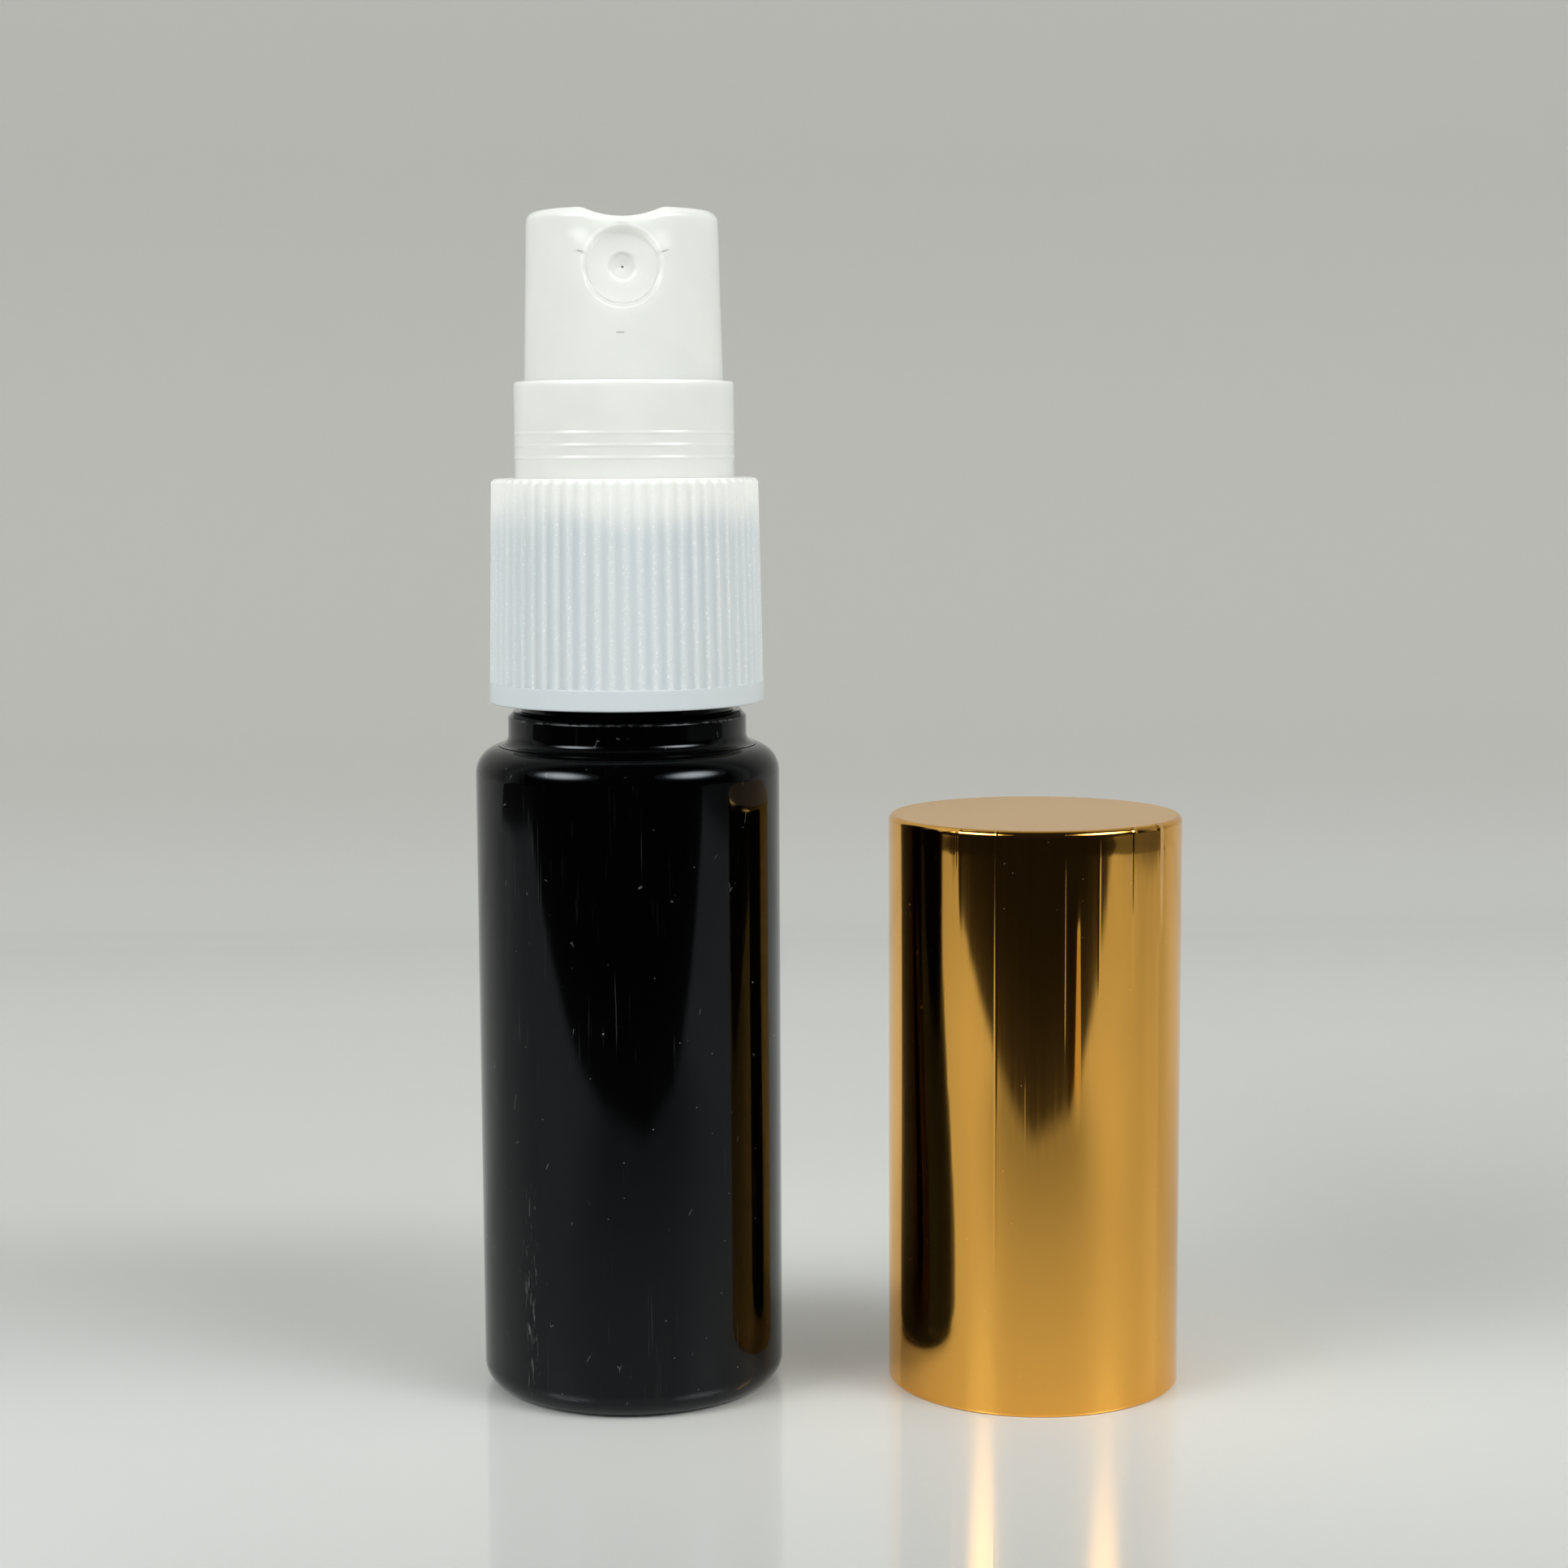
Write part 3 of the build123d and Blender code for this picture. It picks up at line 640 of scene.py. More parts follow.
def gold_metal(sizes, centre, top, radius):
    """Bright gold anodised aluminium with draw lines in its side, a painted reddish reflection along one of
    them, and a satin top with spin lines.
    """
    shader = Shader("gold_anodised_aluminium")
    across, depth, up = shader.split(shader.place(move=(-centre[0] / MM, -centre[1] / MM, 0)))
    turn = across.turn_from(depth * -1.0) - radians(sizes.line_turn)

    def beside(degrees):
        """Distance round the side from this turn, in millimetres."""
        return abs(turn - radians(degrees)) * (radius / MM)

    on_top = up.span(top / MM - 0.03, top / MM - 0.01)
    dust = shader.specks(1.6, (0.04, 0.09), (0.90, 0.92))
    tone = on_top.blend(sizes.gold, sizes.top_gold)
    tone = (dust * 0.4).blend(tone, (0.80, 0.74, 0.62))
    # Painted reflection: a reddish band along one draw line
    painted_rosy_reflection = beside(REDDISH_REFLECTION_LINE).fade(0.35, 0.6) * up.span(22.0, 26.0) * up.fade(34.0, 39.0)
    fine_lines = shader.noise(3.5, 4.0, 0.6, stretch=(1, 1, 0.015))
    # Use has pressed the open end a little.
    # Drawing leaves a drawn-in top, waves, and stripes that fade to the foot.
    stripes = shader.noise(0.62, stretch=(1, 1, 0.05)) * up.span(4.0, 36.0, 0.3, 1.0)
    waves = shader.noise(0.10, 1.0, stretch=(1, 1, 0.10))
    pressed = turn.span(radians(-150), radians(-60)) * turn.fade(radians(-60), radians(-5))
    pressed = pressed * up.fade(10.0, 36.0, 0.9)
    height = stripes * 0.014 + waves * 0.05 + fine_lines * 0.0012 - pressed
    height = height - up.span(top / MM - 2.0, top / MM - 0.4, 0.0, 0.03)
    for degrees, width, tall, low, high in DRAW_LINES:
        line = beside(degrees).fade(0.0, width, tall)
        height = height + line * up.span(low, low + 8.0) * up.fade(high, high + 4.0)
    from_centre = {"W": shader.reach(across, depth), "Scale": 9.0, "Detail": 3.0}
    rings = shader.add("ShaderNodeTexNoise", "Fac", from_centre, noise_dimensions="1D")
    shader.set(
        Base_Color=painted_rosy_reflection.blend(tone, (0.90, 0.36, 0.04)),
        Metallic=1.0,
        Roughness=fine_lines.span(0.3, 0.75, 0.05, 0.10) + dust * 0.3 + on_top * 0.32,
        Normal=shader.bump(height * (1.0 - on_top) + rings * on_top * 0.0015, 1.0, MM),
    )
    return shader.material


def plain_finish(name, base, roughness, metallic=0.0, subsurface=0.0, grain=0.05):
    """A quiet finish for the pump's inner pieces, with a little grain and cloudiness."""
    shader = Shader(name)
    clouds = shader.noise(0.6)
    shader.set(
        Base_Color=clouds.blend(base, scaled(base, 0.9)),
        Roughness=clouds.span(0.3, 0.7, roughness * 0.9, roughness * 1.1),
        Metallic=metallic,
        Subsurface_Weight=subsurface,
        Subsurface_Scale=0.8 * MM,
        Normal=shader.bump(shader.noise(12.0), grain, 0.01 * MM),
    )
    return shader.material


# ---- Pieces ----

class SPRAY_OT_bottle(bpy.types.Operator):
    """Model the black bottle with its neck, mouth, push-up and inner wall"""

    bl_idname = "spray.bottle"
    bl_label = "Bottle"

    def execute(self, context):
        sizes = context.scene.spray_bottle
        body_radius = node_radius("bottle")
        neck_top = node_top("bottle")
        shoulder_ledge = 0.35 * MM
        neck_radius = body_radius - sizes.shoulder_round - shoulder_ledge - sizes.thread_depth
        bead_radius = neck_radius + sizes.thread_depth
        shoulder = sizes.shoulder_height
        bead_top = shoulder + sizes.bead_height
        mouth_radius = neck_radius - sizes.neck_wall
        inner_radius = body_radius - sizes.wall
        push_up_radius = body_radius - sizes.base_round - sizes.ring_width
        floor_thickness = 1.4 * MM
        floor_height = sizes.push_up + floor_thickness
        hollow = push_up_radius * 0.55
        corners = [
            (0, sizes.push_up, 0),
            (hollow, sizes.push_up * 0.86, 4 * MM),
            (push_up_radius, 0, 0),
            (body_radius, 0, sizes.base_round),
            (body_radius, shoulder / 2, 0),
            (body_radius, shoulder, sizes.shoulder_round),
            (bead_radius, shoulder, 0.75 * MM),
            (bead_radius, bead_top - 0.45 * MM, 0.2 * MM),
            (bead_radius - 0.4 * MM, bead_top, 0.12 * MM),
            (neck_radius, bead_top, 0.12 * MM),
            (neck_radius, neck_top, 0.25 * MM),
            (mouth_radius, neck_top, 0.15 * MM),
            (mouth_radius, shoulder - sizes.wall, 0.8 * MM),
            (inner_radius, shoulder - sizes.wall, 1.4 * MM),
            (inner_radius, floor_thickness, 0.9 * MM),
            (push_up_radius, floor_thickness, 0.6 * MM),
            (hollow, floor_height - sizes.push_up * 0.14, 4 * MM),
            (0, floor_height, 0),
        ]
        piece = lathe("bottle_body", corners, sides=256, steps=10)
        smooth(piece)
        worn_edge = bead_top - 0.42 * MM
        material = bottle_plastic(sizes, worn_edge)
        finish_piece(piece, "bottle", material, "bottle_plastic", "bottle")
        thread_foot = bead_top + 6.4 * MM
        pitch, turns = sizes.thread_pitch, sizes.thread_turns
        ridge = screw_ridge("neck_thread", neck_radius, bead_radius, thread_foot, pitch, turns)
        finish_piece(ridge, "bottle", material, "bottle_plastic")
        return {"FINISHED"}


def screw_ridge(name, root_radius, crest_radius, foot, pitch, turns, sides=72):
    """A helical thread ridge whose two ends run out into the wall."""
    width = 1.1 * MM
    crest = 0.45 * MM
    sink = 0.05 * MM if crest_radius > root_radius else -0.05 * MM
    corners = [
        (root_radius - sink, -width / 2),
        (root_radius - sink, width / 2),
        (crest_radius, crest / 2),
        (crest_radius, -crest / 2),
    ]
    deselect_all()
    bpy.ops.mesh.primitive_circle_add(vertices=len(corners), radius=MM, fill_type="NOTHING")
    piece = take_new(name)
    for vertex, (across, up) in zip(piece.data.vertices, corners):
        vertex.co = (across, 0, foot + up)
    apply_screw(piece, turns, pitch * turns, int(sides * turns))
    last = len(piece.data.vertices) // len(corners) - 1
    fade = sides / 8
    for vertex in piece.data.vertices:
        step = vertex.index // len(corners)
        share = min(1.0, step / fade, (last - step) / fade)
        if vertex.index % len(corners) > 1:
            reach = root_radius - sink + (crest_radius - root_radius + sink) * share
            across = hypot(vertex.co.x, vertex.co.y)
            vertex.co.x *= reach / across
            vertex.co.y *= reach / across
    cap_ends(piece)
    smooth(piece)
    return piece


class SPRAY_OT_collar(bpy.types.Operator):
    """Model the ribbed screw collar with its inner thread"""

    bl_idname = "spray.collar"
    bl_label = "Screw Collar"

    def execute(self, context):
        sizes = context.scene.spray_collar
        foot, top = node_foot("screw_collar"), node_top("screw_collar")
        outer = node_radius("screw_collar")
        band_top = foot + sizes.band_height
        bore = outer - sizes.wall
        hole = turret_radius() + sizes.hole_gap
        ceiling = top - sizes.top_thickness
        slope = 0.3 * MM
        top_radius = outer - (top - band_top) * tan(sizes.draft)
        rib_start = band_top + 0.04 * MM
        ribbed = [
            (outer - (height - band_top) * tan(sizes.draft), height, 0)
            for height in spread(rib_start, top - slope, 10)
        ]
        corners = [
            (bore, foot, 0),
            (outer, foot, 0.12 * MM),
            (outer, band_top, 0),
            *ribbed,
            (top_radius - 0.22 * MM, top - 0.06 * MM, 0),
            (top_radius - 0.5 * MM, top, 0.1 * MM),
            (hole, top, 0.08 * MM),
            (hole, ceiling, 0),
            (bore, ceiling, 0),
            (bore, (foot + ceiling) / 2, 0),
            (bore, foot, 0),
        ]
        points_round_rib = 8
        piece = lathe("ribbed_collar", corners, sides=sizes.rib_count * points_round_rib, steps=3)
        edit(piece)
        # How far each point sinks, from the crest of a rib to the middle of a groove
        shares = (0.0, 0.2, 0.62, 0.93, 1.0)
        rib_angle = 2 * pi / sizes.rib_count

        def sink(co):
            phase = (atan2(co.y, co.x) / rib_angle) % 1 * points_round_rib
            index = round(phase) % points_round_rib
            share = shares[min(index, points_round_rib - index)]
            radius = hypot(co.x, co.y)
            factor = (radius - sizes.rib_depth * share) / radius
            return Vector((co.x * factor, co.y * factor, co.z))

        near = 0.01 * MM

        def outside(co):
            return hypot(co.x, co.y) > bore + 0.5 * MM

        place(piece, lambda co: outside(co) and rib_start - near < co.z < top - slope + near, sink)
        pick(piece, lambda co: outside(co) and abs(co.z - band_top) < near)
        bpy.ops.mesh.mark_sharp()
        leave_edit()
        smooth(piece, 60)
        material = collar_plastic(sizes, foot, top, outer)
        finish_piece(piece, "collar", material, "collar_plastic", "screw_collar")
        pitch = context.scene.spray_bottle.thread_pitch
        thread_crest = bore - 0.85 * MM
        thread_foot = foot + 3.6 * MM
        ridge = screw_ridge("collar_thread", bore, thread_crest, thread_foot, pitch, turns=1.25)
        finish_piece(ridge, "collar", material, "collar_plastic")
        return {"FINISHED"}


class SPRAY_OT_turret(bpy.types.Operator):
    """Model the pump turret with its grip beads, plug and stem guide"""

    bl_idname = "spray.turret"
    bl_label = "Pump Turret"

    def execute(self, context):
        sizes = context.scene.spray_turret
        flange_radius = node_radius("pump_turret")
        top, guide_end = node_top("pump_turret"), node_foot("pump_turret")
        outer = turret_radius()
        bore = outer - sizes.wall
        flange_foot = node_top("pump_housing")
        floor = flange_foot + sizes.flange
        guide = guide_radius()
        guide_outside = guide + sizes.guide_wall
        plug, plug_bore = sizes.plug_radius, sizes.plug_radius - sizes.plug_wall
        lowest_bead = node_top("screw_collar") + sizes.bead_rise
        half_bead = 0.17 * MM
        beads = []
        for bead in range(sizes.bead_count):
            middle = lowest_bead + bead * sizes.bead_pitch
            beads += [
                (outer, middle - half_bead, 0.08 * MM),
                (outer + sizes.bead_height, middle, 0.07 * MM),
                (outer, middle + half_bead, 0.08 * MM),
            ]
        corners = [
            (guide, floor, 0),
            (bore, floor, 0.1 * MM),
            (bore, top, 0.15 * MM),
            (outer, top, 0.24 * MM),
            *reversed(beads),
            (outer, floor, 0),
            (flange_radius, floor, 0),
            (flange_radius, flange_foot, 0),
            (plug, flange_foot, 0),
            (plug, guide_end, 0),
            (plug_bore, guide_end, 0),
            (plug_bore, flange_foot, 0),
            (guide_outside, flange_foot, 0),
            (guide_outside, guide_end, 0),
            (guide, guide_end, 0),
            (guide, floor, 0),
        ]
        piece = lathe("turret_ring", corners, sides=192, steps=5)
        smooth(piece)
        # A little painted glow brightens the turret's corners
        material = white_plastic("turret_white_plastic", sizes.plastic, 0.06)
        finish_piece(piece, "pump", material, "turret_plastic", "pump_turret")
        return {"FINISHED"}


class SPRAY_OT_button(bpy.types.Operator):
    """Model the press button with its finger dip, nozzle recess and hollow"""

    bl_idname = "spray.button"
    bl_label = "Press Button"

    def execute(self, context):
        sizes = context.scene.spray_button
        nozzle = context.scene.spray_nozzle
        foot, top = node_foot("actuator"), node_top("actuator")
        radius = node_radius("actuator")
        turret_top = node_top("pump_turret")
        nozzle_height = node_middle("nozzle_insert")
        insert_radius = node_radius("nozzle_insert")
        seat_depth = -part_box("nozzle_insert")[1].y

        def cone(height):
            return radius - max(0.0, height - turret_top) * tan(sizes.draft)

        piece = button_skin(sizes, foot, top, turret_top, cone)
        press_dip(piece, sizes, top, nozzle_height)
        open_recess(piece, nozzle, insert_radius, nozzle_height, seat_depth, cone)
        hollow = button_hollow(sizes, nozzle, foot, top, turret_top, insert_radius, nozzle_height, cone)
        cut_out(piece, hollow)
        smooth(piece, 40)
        material = white_plastic(
            "button_white_plastic",
            context.scene.spray_turret.plastic,
            mark=(-0.2 * MM, sizes.mark_height),
            recess=(0.0, nozzle_height, insert_radius + nozzle.recess_margin),
        )
        finish_piece(piece, "button", material, "actuator_plastic", "actuator")
        return {"FINISHED"}


def button_skin(sizes, foot, top, turret_top, cone):
    """The solid outside of the button, with close rows where the nozzle will be."""
    flat_radius = cone(top) - sizes.edge_round
    side = [(cone(height), height, 0) for height in spread(turret_top, top - sizes.edge_round, 44)]
    rings = [(flat_radius - reach, top, 0) for reach in spread(0, flat_radius, 26)]
    corners = [
        (0, foot, 0),
        (cone(foot), foot, 0.15 * MM),
        *side,
        (cone(top), top, sizes.edge_round),
        *rings[1:],
    ]
    return lathe("press_button", corners, sides=192, steps=8)


def press_dip(piece, sizes, top, nozzle_height):
    """Lower the top along a dip that runs from front to back and blends in at both sides."""
    share = sizes.dip_depth / (sizes.dip_radius + sizes.dip_blend)
    turn = sizes.dip_radius * sqrt(2 * share - share**2)
    edge = turn * (sizes.dip_radius + sizes.dip_blend) / sizes.dip_radius

    def depth(across):
        across = abs(across)
        if across < turn:
            return sizes.dip_depth - sizes.dip_radius + sqrt(sizes.dip_radius**2 - across**2)
        if across < edge:
            return sizes.dip_blend - sqrt(sizes.dip_blend**2 - (edge - across) ** 2)
        return 0.0

    edge_foot = top - sizes.edge_round

    def lower(co):
        share = min(1.0, max(0.0, (co.z - nozzle_height) / (edge_foot - nozzle_height)))
        return Vector((co.x, co.y, co.z - depth(co.x) * share))

    edit(piece)
    place(piece, lambda co: co.z > nozzle_height, lower)
    leave_edit()


def open_recess(piece, nozzle, insert_radius, height, seat_depth, cone):
    """Open a round recess in the front wall, with a rounded edge and a seat for the insert."""
    recess = insert_radius + nozzle.recess_margin
    blend_margin = 0.27 * MM
    half_width = recess + nozzle.recess_round + blend_margin
    edit(piece)
    bpy.ops.mesh.select_mode(type="FACE")
    mesh = bmesh.from_edit_mesh(piece.data)
    for face in mesh.faces:
        middle = face.calc_center_median()
        inside = abs(middle.x) < half_width and abs(middle.z - height) < half_width
        face.select = inside and middle.y < -recess and abs(face.normal.z) < 0.3
    bmesh.update_edit_mesh(piece.data)
    bpy.ops.mesh.delete(type="FACE")
    bpy.ops.mesh.select_mode(type="EDGE")
    mesh = bmesh.from_edit_mesh(piece.data)
    for edge in mesh.edges:
        edge.select = edge.is_boundary
    mesh.select_flush_mode()
    bmesh.update_edit_mesh(piece.data)
    floor = nozzle.recess_depth - cone(height)
    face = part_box("nozzle_insert")[0].y

    def wall(across, up, share):
        return -sqrt(cone(up) ** 2 - across**2) * (1 - share) + face * share

    rings = [(recess + nozzle.recess_round + reach, 0.0) for reach in (0.16 * MM, 0.08 * MM, 0.0)]
    for share in spread(0.0, 1.0, 10)[1:]:
        rings.append((recess + nozzle.recess_round * (1 - share), share**2 * (3 - 2 * share)))
    for reach, share in rings:
        bpy.ops.mesh.extrude_region_move()
        put_on_circle(piece, height, reach, lambda across, up, share=share: wall(across, up, share))
    seat_gap = 0.03 * MM
    seat = insert_radius + seat_gap
    for reach, depth in ((recess, floor), (seat, floor), (seat, -seat_depth), (seat * 0.05, -seat_depth)):
        bpy.ops.mesh.extrude_region_move()
        put_on_circle(piece, height, reach, lambda across, up, depth=depth: depth)
    bpy.ops.mesh.merge(type="CENTER")
    close_skin()


def put_on_circle(piece, height, reach, depth):
    """Put the selected loop on a circle round the nozzle's axis."""
    mesh = bmesh.from_edit_mesh(piece.data)
    for vertex in mesh.verts:
        if vertex.select:
            turn = atan2(vertex.co.z - height, vertex.co.x)
            across, up = reach * cos(turn), height + reach * sin(turn)
            vertex.co = (across, depth(across, up), up)
    bmesh.update_edit_mesh(piece.data)


def button_hollow(sizes, nozzle, foot, top, turret_top, insert_radius, height, cone):
    """The space under the button, round its hub and the boss behind the nozzle."""
    wall = sizes.wall
    ceiling = top - sizes.dip_depth - sizes.top_thickness
    guide = guide_radius()
    hub = guide + sizes.hub_wall
    hub_end = turret_top - 1.0 * MM
    socket_top = node_top("stem") + 0.1 * MM
    space = lathe(
        "button_hollow",
        [
            (0, foot - MM, 0),
            (cone(foot) - wall, foot - MM, 0),
            (cone(foot) - wall, turret_top, 0),
            (cone(ceiling) - wall, ceiling, 0.4 * MM),
            (hub, ceiling, 0.3 * MM),
            (hub, hub_end, 0),
            (guide, hub_end, 0),
            (guide, socket_top, 0),
            (0, socket_top, 0),
        ],
        sides=96,
    )
    boss_radius = insert_radius + nozzle.boss_wall
    start, end = hub / 2, cone(foot) + MM
    boss = lathe(
        "nozzle_boss", [(0, start, 0), (boss_radius, start, 0), (boss_radius, end, 0), (0, end, 0)], sides=96
    )
    turn_to_front(boss, height)
    cut_out(space, boss)
    return space


class SPRAY_OT_nozzle(bpy.types.Operator):
    """Model the nozzle insert with its dimple, pinhole and the cup behind its face"""

    bl_idname = "spray.nozzle"
    bl_label = "Nozzle Insert"

    def execute(self, context):
        sizes = context.scene.spray_nozzle
        height = node_middle("nozzle_insert")
        radius = node_radius("nozzle_insert")
        face, back = (-corner.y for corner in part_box("nozzle_insert"))
        cup = radius - sizes.cup_wall
        nozzle_fill = sizes.recess_margin * 0.8
        cup_end = face - sizes.face_thickness
        corners = [
            (cup, back, 0),
            (radius, back, 0.15 * MM),
            (radius, face - 0.4 * MM, 0),
            (radius + nozzle_fill, face - 0.3 * MM, 0),
            (radius + nozzle_fill, face, 0.07 * MM),
            (radius - 0.55 * MM, face - 0.03 * MM, 0),
            (sizes.dimple_radius + 0.12 * MM, face - 0.08 * MM, 0.15 * MM),
            (sizes.dimple_radius - 0.1 * MM, face - 0.1 * MM - sizes.dimple_depth * 0.6, 0.1 * MM),
            (sizes.pinhole_radius, face - 0.08 * MM - sizes.dimple_depth, 0.03 * MM),
            (sizes.pinhole_radius, cup_end, 0),
            (cup, cup_end, 0.1 * MM),
            (cup, back, 0),
        ]
        piece = lathe("nozzle_cup", corners, sides=96, steps=5)
        turn_to_front(piece, height)
        smooth(piece, 50)
        # Painted light: the insert is a little lighter than the turret's plastic, and a painted glow
        # brightens its corners
        base = scaled(context.scene.spray_turret.plastic, 1.03)
        material = white_plastic("nozzle_white_plastic", base, 0.34)
        finish_piece(piece, "button", material, "insert_plastic", "nozzle_insert")
        return {"FINISHED"}


class SPRAY_OT_overcap(bpy.types.Operator):
    """Model the drawn metal shell of the overcap"""

    bl_idname = "spray.overcap"
    bl_label = "Overcap"

    def execute(self, context):
        sizes = context.scene.spray_overcap
        top = node_top("overcap_shell")
        radius = node_radius("overcap_shell")
        centre = node_centre("overcap_shell")
        bore = radius - sizes.wall
        corners = [
            (0, top - sizes.top_thickness, 0),
            (bore, top - sizes.top_thickness, 0.2 * MM),
            (bore, 0, sizes.foot_round),
            (radius, 0, sizes.foot_round),
            (radius, top / 2, 0),
            (radius, top, sizes.rim_round),
            (radius - 1.2 * MM, top, 0),
            (0, top, 0),
        ]
        piece = lathe("gold_shell", corners, sides=256, centre=centre, steps=8)
        smooth(piece)
        material = gold_metal(sizes, centre, top, radius)
        finish_piece(piece, "overcap", material, "gold_aluminium", "overcap_shell")
        return {"FINISHED"}


class SPRAY_OT_pump_parts(bpy.types.Operator):
    """Finish the pump's inner pieces and model its coiled return spring"""

    bl_idname = "spray.pump_parts"
    bl_label = "Pump Parts"

    def execute(self, context):
        milky = plain_finish("natural_plastic", (0.74, 0.76, 0.74), 0.38, subsurface=0.3)
        waxy = plain_finish("waxy_plastic", (0.80, 0.80, 0.76), 0.42, subsurface=0.3)
        seal = plain_finish("soft_seal", (0.76, 0.76, 0.73), 0.6, grain=0.2)
        steel = plain_finish("bright_steel", (0.60, 0.60, 0.61), 0.16, metallic=1.0, grain=0.1)
        finishes = {
            "pump_housing": milky,
            "dip_tube": milky,
            "piston": waxy,
            "piston_rod": waxy,
            "stem": waxy,
            "overcap_liner": waxy,
            "gasket": seal,
            "inlet_ball": steel,
        }
        for node, material in finishes.items():
            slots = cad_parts[node].material_slots
            for slot in slots:
                slot.material = material
        coil_spring(steel)
        return {"FINISHED"}


def coil_spring(steel):
    """A round-wire coil of even pitch, closed at both ends of the wire."""
    foot, top = node_foot("return_spring"), node_top("return_spring")
    wire = 0.225 * MM
    mean = node_radius("return_spring") - wire
    turns = 6
    sides = 40
    deselect_all()
    bpy.ops.mesh.primitive_circle_add(
        vertices=10, radius=wire, rotation=(pi / 2, 0, 0), location=(mean, 0, foot + wire)
    )
    piece = take_new("coil_spring")
    bpy.ops.object.transform_apply(location=True, rotation=True, scale=True)
    apply_screw(piece, turns, top - foot - 2 * wire, sides * turns)
    cap_ends(piece)
    smooth(piece, 60)
    finish_piece(piece, "pump", steel, "spring_steel", "return_spring")
    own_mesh(piece)


# ---- Stage ----
# Painted tones are placed in millimetres, as in the materials above.

# How far the sheets and the backdrop reach, in metres
STAGE_REACH = 1.2


class SPRAY_OT_stage(bpy.types.Operator):
    """Set up the floor, backdrop, soft lights and camera"""

    bl_idname = "spray.stage"
    bl_label = "Stage"

    def execute(self, context):
        sizes = context.scene.spray_stage
        add_camera(sizes)
        add_sweep(sizes)
        add_dark_front(sizes)
        add_lights()
        light_room()
        context.scene.view_settings.view_transform = "Standard"
        return {"FINISHED"}


def add_camera(sizes):
    deselect_all()
    bpy.ops.object.camera_add()
    camera = bpy.context.object
    camera.data.lens = sizes.lens
    camera.data.sensor_width = 36
    camera.data.clip_start = 0.01
    turn = Euler((pi / 2 - sizes.camera_pitch, 0, -sizes.camera_yaw)).to_matrix().to_4x4()
    roll = Matrix.Rotation(sizes.camera_roll, 4, "Z")
    camera.matrix_world = Matrix.Translation(sizes.camera_place) @ turn @ roll
    bpy.context.scene.camera = camera


def add_sheet(name, back, height):
    """A level sheet that ends at this depth behind the bottle, left in edit mode."""
    deselect_all()
    bpy.ops.mesh.primitive_plane_add(size=1)
    sheet = take_new(name)
    bpy.ops.object.mode_set(mode="EDIT")

    def spread_out(co):
        return Vector((co.x * 2 * STAGE_REACH, -STAGE_REACH if co.y < 0 else back, height))

    place(sheet, everywhere, spread_out)
    return sheet


def add_sweep(sizes):
    """A pale board that turns up into a backdrop behind the bottle."""
    board = add_sheet("board", sizes.sweep_start, height=0)
    pick(board, lambda co: co.y > 0)
    steps = 24
    turn = pi / 2 / steps
    chord = 2 * sizes.sweep_round * sin(turn / 2)
    for step in range(steps):
        mid = (step + 0.5) * turn
        bpy.ops.mesh.extrude_region_move(
            TRANSFORM_OT_translate={"value": (0, chord * cos(mid), chord * sin(mid))}
        )
    bpy.ops.mesh.extrude_region_move(TRANSFORM_OT_translate={"value": (0, 0, STAGE_REACH)})
    bpy.ops.mesh.select_all(action="SELECT")
    bpy.ops.mesh.normals_make_consistent(inside=False)
    leave_edit()
    bpy.ops.object.shade_smooth()
    board.data.materials.append(board_finish(sizes))


def board_finish(sizes):
    """Glossy pale board, brightest near the bottle and greyer up the backdrop, with painted shade in front of
    the bottle and behind it and painted shadows to either side.
    """
    shader = Shader("pale_gloss_board")
    across, depth, up = shader.split(shader.place())
    aside = abs(across - 20.0)
    front_shade_tone, far_shade_tone, side_shadow_tone = (scaled(sizes.floor_colour, share) for share in (0.52, 0.94, 0.81))
    # Painted shade: the floor darkens in front of the bottle and greys behind it
    front = aside.fade(40.0, 95.0) * depth.span(-90.0, -15.0, 1.0, 0.0, "LINEAR")
    tone = depth.span(35.0, 80.0).blend(front.blend(sizes.floor_colour, front_shade_tone), far_shade_tone)
    # Painted shadows: soft dark bands on the floor beside the bottle and the cap
    sides = depth.span(-60.0, -15.0, 0.0, 0.35) + depth.span(-10.0, 18.0, 0.0, 0.65)
    sides = sides * depth.fade(28.0, across.span(-20.0, 60.0, 60.0, 130.0)) * aside.span(15.0, 55.0)
    behind = (depth + up * 1.5).span(150.0, 305.0)
    soft = shader.noise(0.02)
    shader.set(
        Base_Color=behind.blend(sides.blend(tone, side_shadow_tone), sizes.wall_colour),
        Roughness=soft.span(0.3, 0.7, 0.30, 0.36) + up.span(0.0, 8.0, 0.0, 0.4),
        IOR=1.45,
        Specular_IOR_Level=0.1,
        Coat_Weight=up.fade(0.0, 8.0),
        Coat_Roughness=0.004,
        Coat_IOR=1.5,
    )
    return shader.material


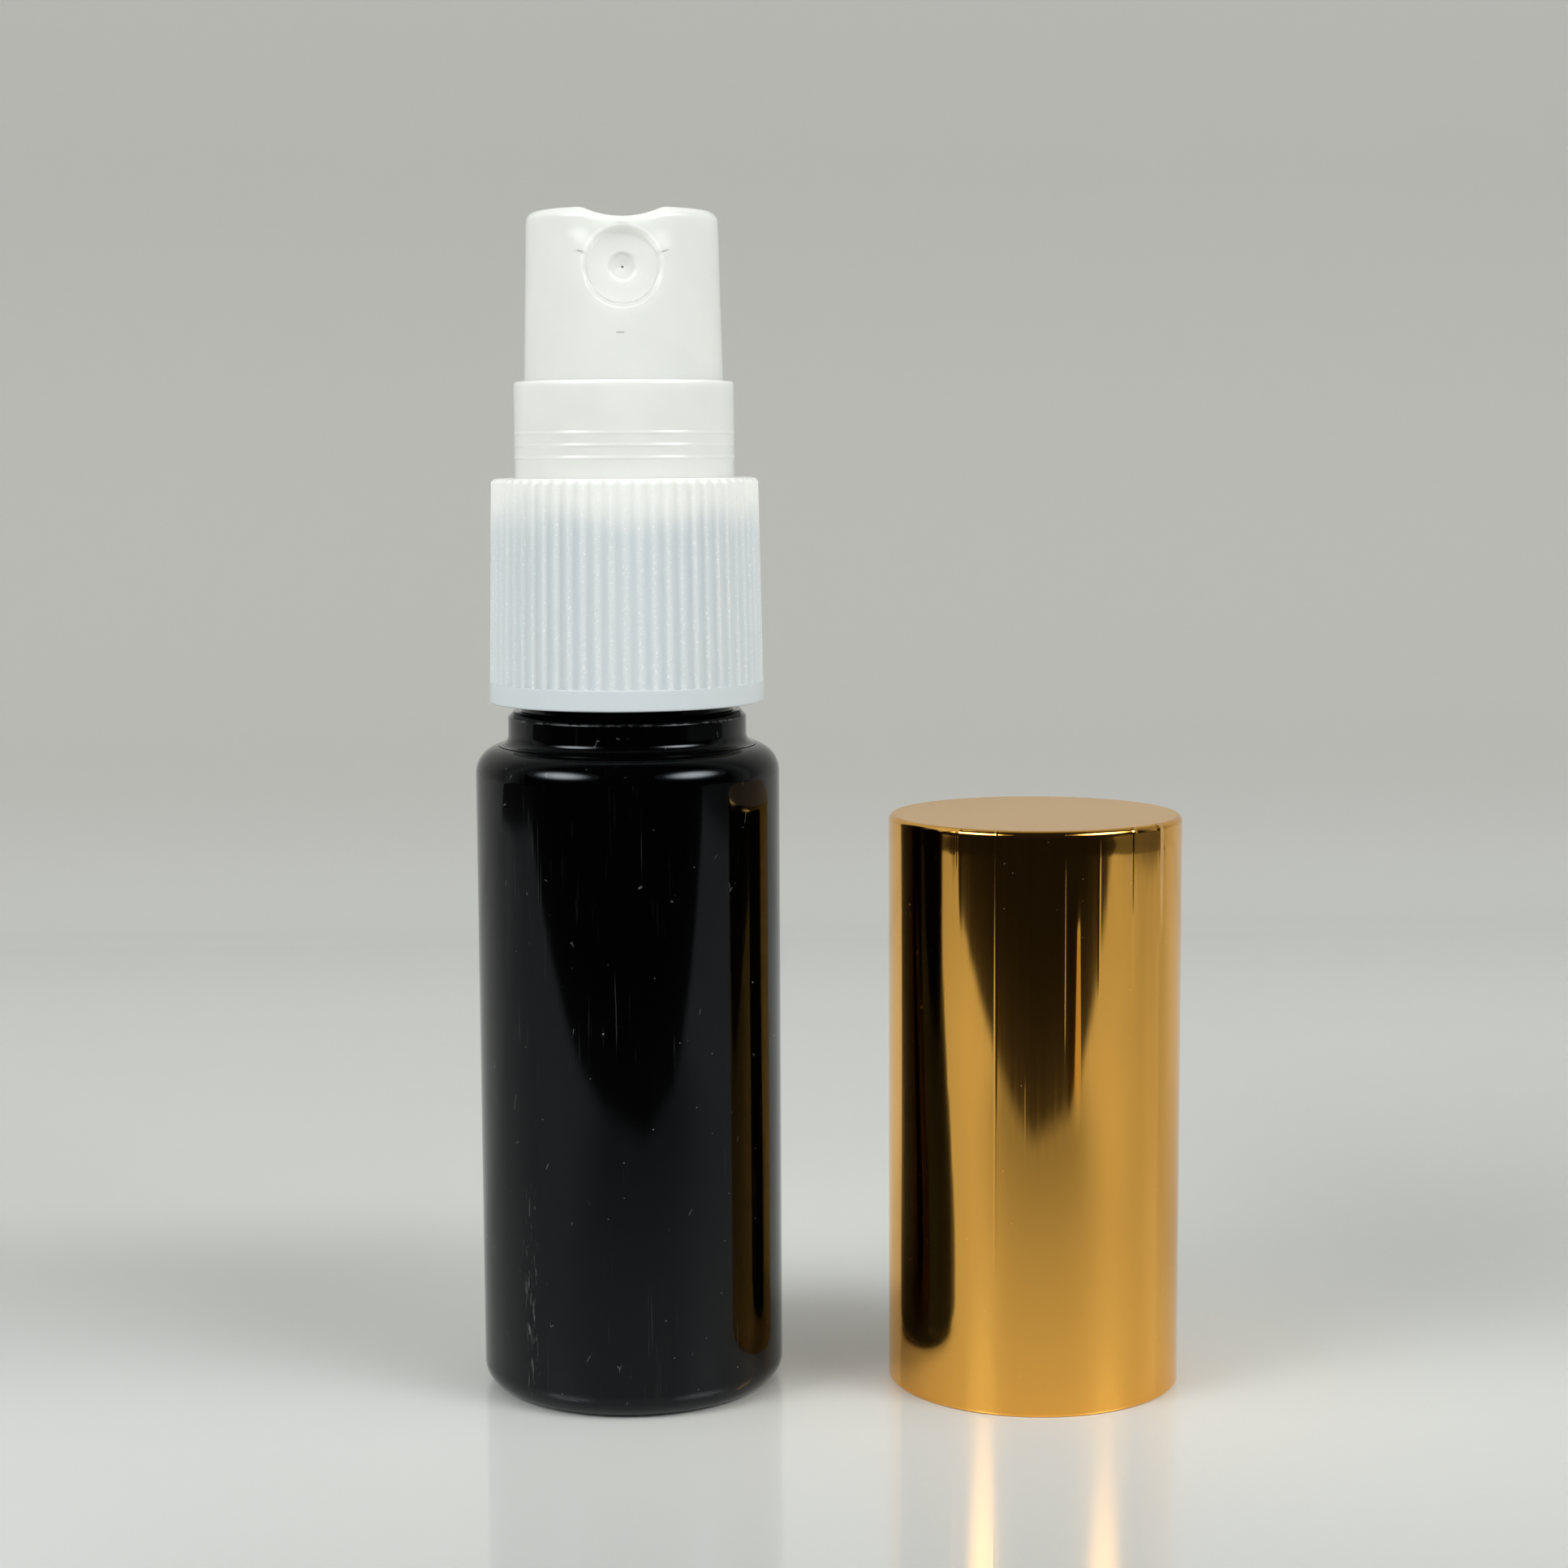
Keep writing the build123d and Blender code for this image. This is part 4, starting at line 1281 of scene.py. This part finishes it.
def add_dark_front(sizes):
    """A dark sheet that stands in for the dark room in front of the board, with a faint painted glow that
    fades beyond the board's edge; only glossy surfaces see it.
    """
    shader = Shader("dark_room")
    across, depth = shader.split(shader.place())[:2]
    bend = (abs(across - 17.0) / -30.0).exponent() * 10.0
    back = (-150.0 - across).at_least(0.0) * 0.15
    skew = (across - 65.0).at_least(0.0) * 0.40
    beyond_edge = bend + back - skew - sizes.board_front / MM - depth
    left = across.fade(-350.0, -332.0)
    right = across.span(300.0, 345.0, 0.0, 0.8)
    beyond = beyond_edge.span(-8.0, 8.0).at_least(left).at_least(right)
    # Painted glow: the sheet glows faintly, most near the board's edge
    painted_glow = (beyond_edge.at_least(0.0) / -35.0).exponent()
    shader.set(
        Base_Color=(0, 0, 0),
        Specular_IOR_Level=0.0,
        Emission_Color=(1.0, 0.98, 0.96),
        Emission_Strength=painted_glow * 0.045 + 0.009,
    )
    clear = shader.add("ShaderNodeBsdfTransparent", 0)
    dark = Value(shader, shader.surface.outputs[0])
    mixed = shader.add("ShaderNodeMixShader", 0, {0: beyond, 1: clear, 2: dark})
    shader.fill(shader.tree.nodes["Material Output"].inputs["Surface"], mixed)
    reach_behind, above_board = 0.12, 0.5 * MM
    card = add_sheet("dark_front", reach_behind, above_board)
    leave_edit()
    card.data.materials.append(shader.material)
    card.visible_camera = False
    card.visible_diffuse = False
    card.visible_shadow = False
    card.visible_transmission = False


def add_lights():
    """Two wide soft lamps, front left and front right, that fade towards their edges."""
    away, rise = 0.62, radians(30)
    aim_at = Vector((0.01, 0, 0.05))
    for name, azimuth, power in (("lamp_left", -56, 3.0), ("lamp_right", 53, 3.12)):
        around = radians(azimuth)
        place_at = aim_at + away * Vector((sin(around) * cos(rise), -cos(around) * cos(rise), sin(rise)))
        aim = (aim_at - place_at).to_track_quat("-Z", "Y").to_euler()
        deselect_all()
        bpy.ops.object.light_add(type="AREA", location=place_at, rotation=aim)
        lamp = take_new(name)
        lamp.data.shape = "ELLIPSE"
        lamp.data.size = 0.66
        lamp.data.size_y = 0.42
        lamp.data.energy = power
        lamp.visible_camera = False
        fade_edge(lamp.data)


def fade_edge(lamp):
    """Make a lamp weaker towards its edge."""
    lamp.use_nodes = True
    nodes = Nodes(lamp.node_tree)
    place = nodes.add("ShaderNodeNewGeometry", "Parametric")
    away = nodes.add("ShaderNodeVectorMath", "Value", {0: place, 1: (0.5, 0.5, 0)}, operation="DISTANCE")
    nodes.fill(lamp.node_tree.nodes["Emission"].inputs["Strength"], away.span(0.05, 0.42, 3.2, 0.05))


def light_room():
    """Even fill light, but glossy surfaces see a dark room in front and a pale one behind."""
    world = bpy.data.worlds.new("room")
    world.use_nodes = True
    nodes = Nodes(world.node_tree)
    depth, up = nodes.split(nodes.add("ShaderNodeTexCoord", "Generated"))[1:]
    fill_light = up.span(0.1, 0.9, 0.44, 0.80, "LINEAR")
    room = depth.span(-0.1, 0.3, 0.012, 0.42, "LINEAR")
    glossy = nodes.add("ShaderNodeLightPath", "Is Glossy Ray")
    strength = nodes.add("ShaderNodeMix", 0, {0: glossy, 2: fill_light, 3: room})
    background = world.node_tree.nodes["Background"]
    nodes.fill(background.inputs["Color"], (1.0, 0.995, 0.985))
    nodes.fill(background.inputs["Strength"], strength)
    bpy.context.scene.world = world


# ---- Sidebar and running ----

class SPRAY_PT_sidebar(bpy.types.Panel):
    """Lists the pieces of the spray bottle"""

    bl_label = "Spray Bottle"
    bl_idname = "SPRAY_PT_sidebar"
    bl_space_type = "VIEW_3D"
    bl_region_type = "UI"
    bl_category = "Spray Bottle"

    def draw(self, context):
        column = self.layout.column(align=True)
        for operator in OPERATORS:
            column.operator(operator.bl_idname)
        for name, group in SIZE_GROUPS.items():
            box = self.layout.box()
            box.label(text=group.__name__)
            for key in group.__annotations__:
                box.prop(getattr(context.scene, name), key)


SIZE_GROUPS = {
    "spray_bottle": BottleSizes,
    "spray_collar": CollarSizes,
    "spray_turret": TurretSizes,
    "spray_button": ButtonSizes,
    "spray_nozzle": NozzleSizes,
    "spray_overcap": OvercapSizes,
    "spray_stage": StageSizes,
}
OPERATORS = (
    SPRAY_OT_bottle,
    SPRAY_OT_collar,
    SPRAY_OT_turret,
    SPRAY_OT_button,
    SPRAY_OT_nozzle,
    SPRAY_OT_overcap,
    SPRAY_OT_pump_parts,
    SPRAY_OT_stage,
)


def register():
    for group in (*SIZE_GROUPS.values(), *OPERATORS, SPRAY_PT_sidebar):
        bpy.utils.register_class(group)
    for name, group in SIZE_GROUPS.items():
        setattr(bpy.types.Scene, name, PointerProperty(type=group))


def unregister():
    for name in SIZE_GROUPS:
        delattr(bpy.types.Scene, name)
    for group in (SPRAY_PT_sidebar, *OPERATORS, *SIZE_GROUPS.values()):
        bpy.utils.unregister_class(group)


def main():
    """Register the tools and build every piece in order."""
    register()
    for operator in OPERATORS:
        category, name = operator.bl_idname.split(".")
        getattr(getattr(bpy.ops, category), name)()
    deselect_all()


if __name__ == "__main__":
    main()
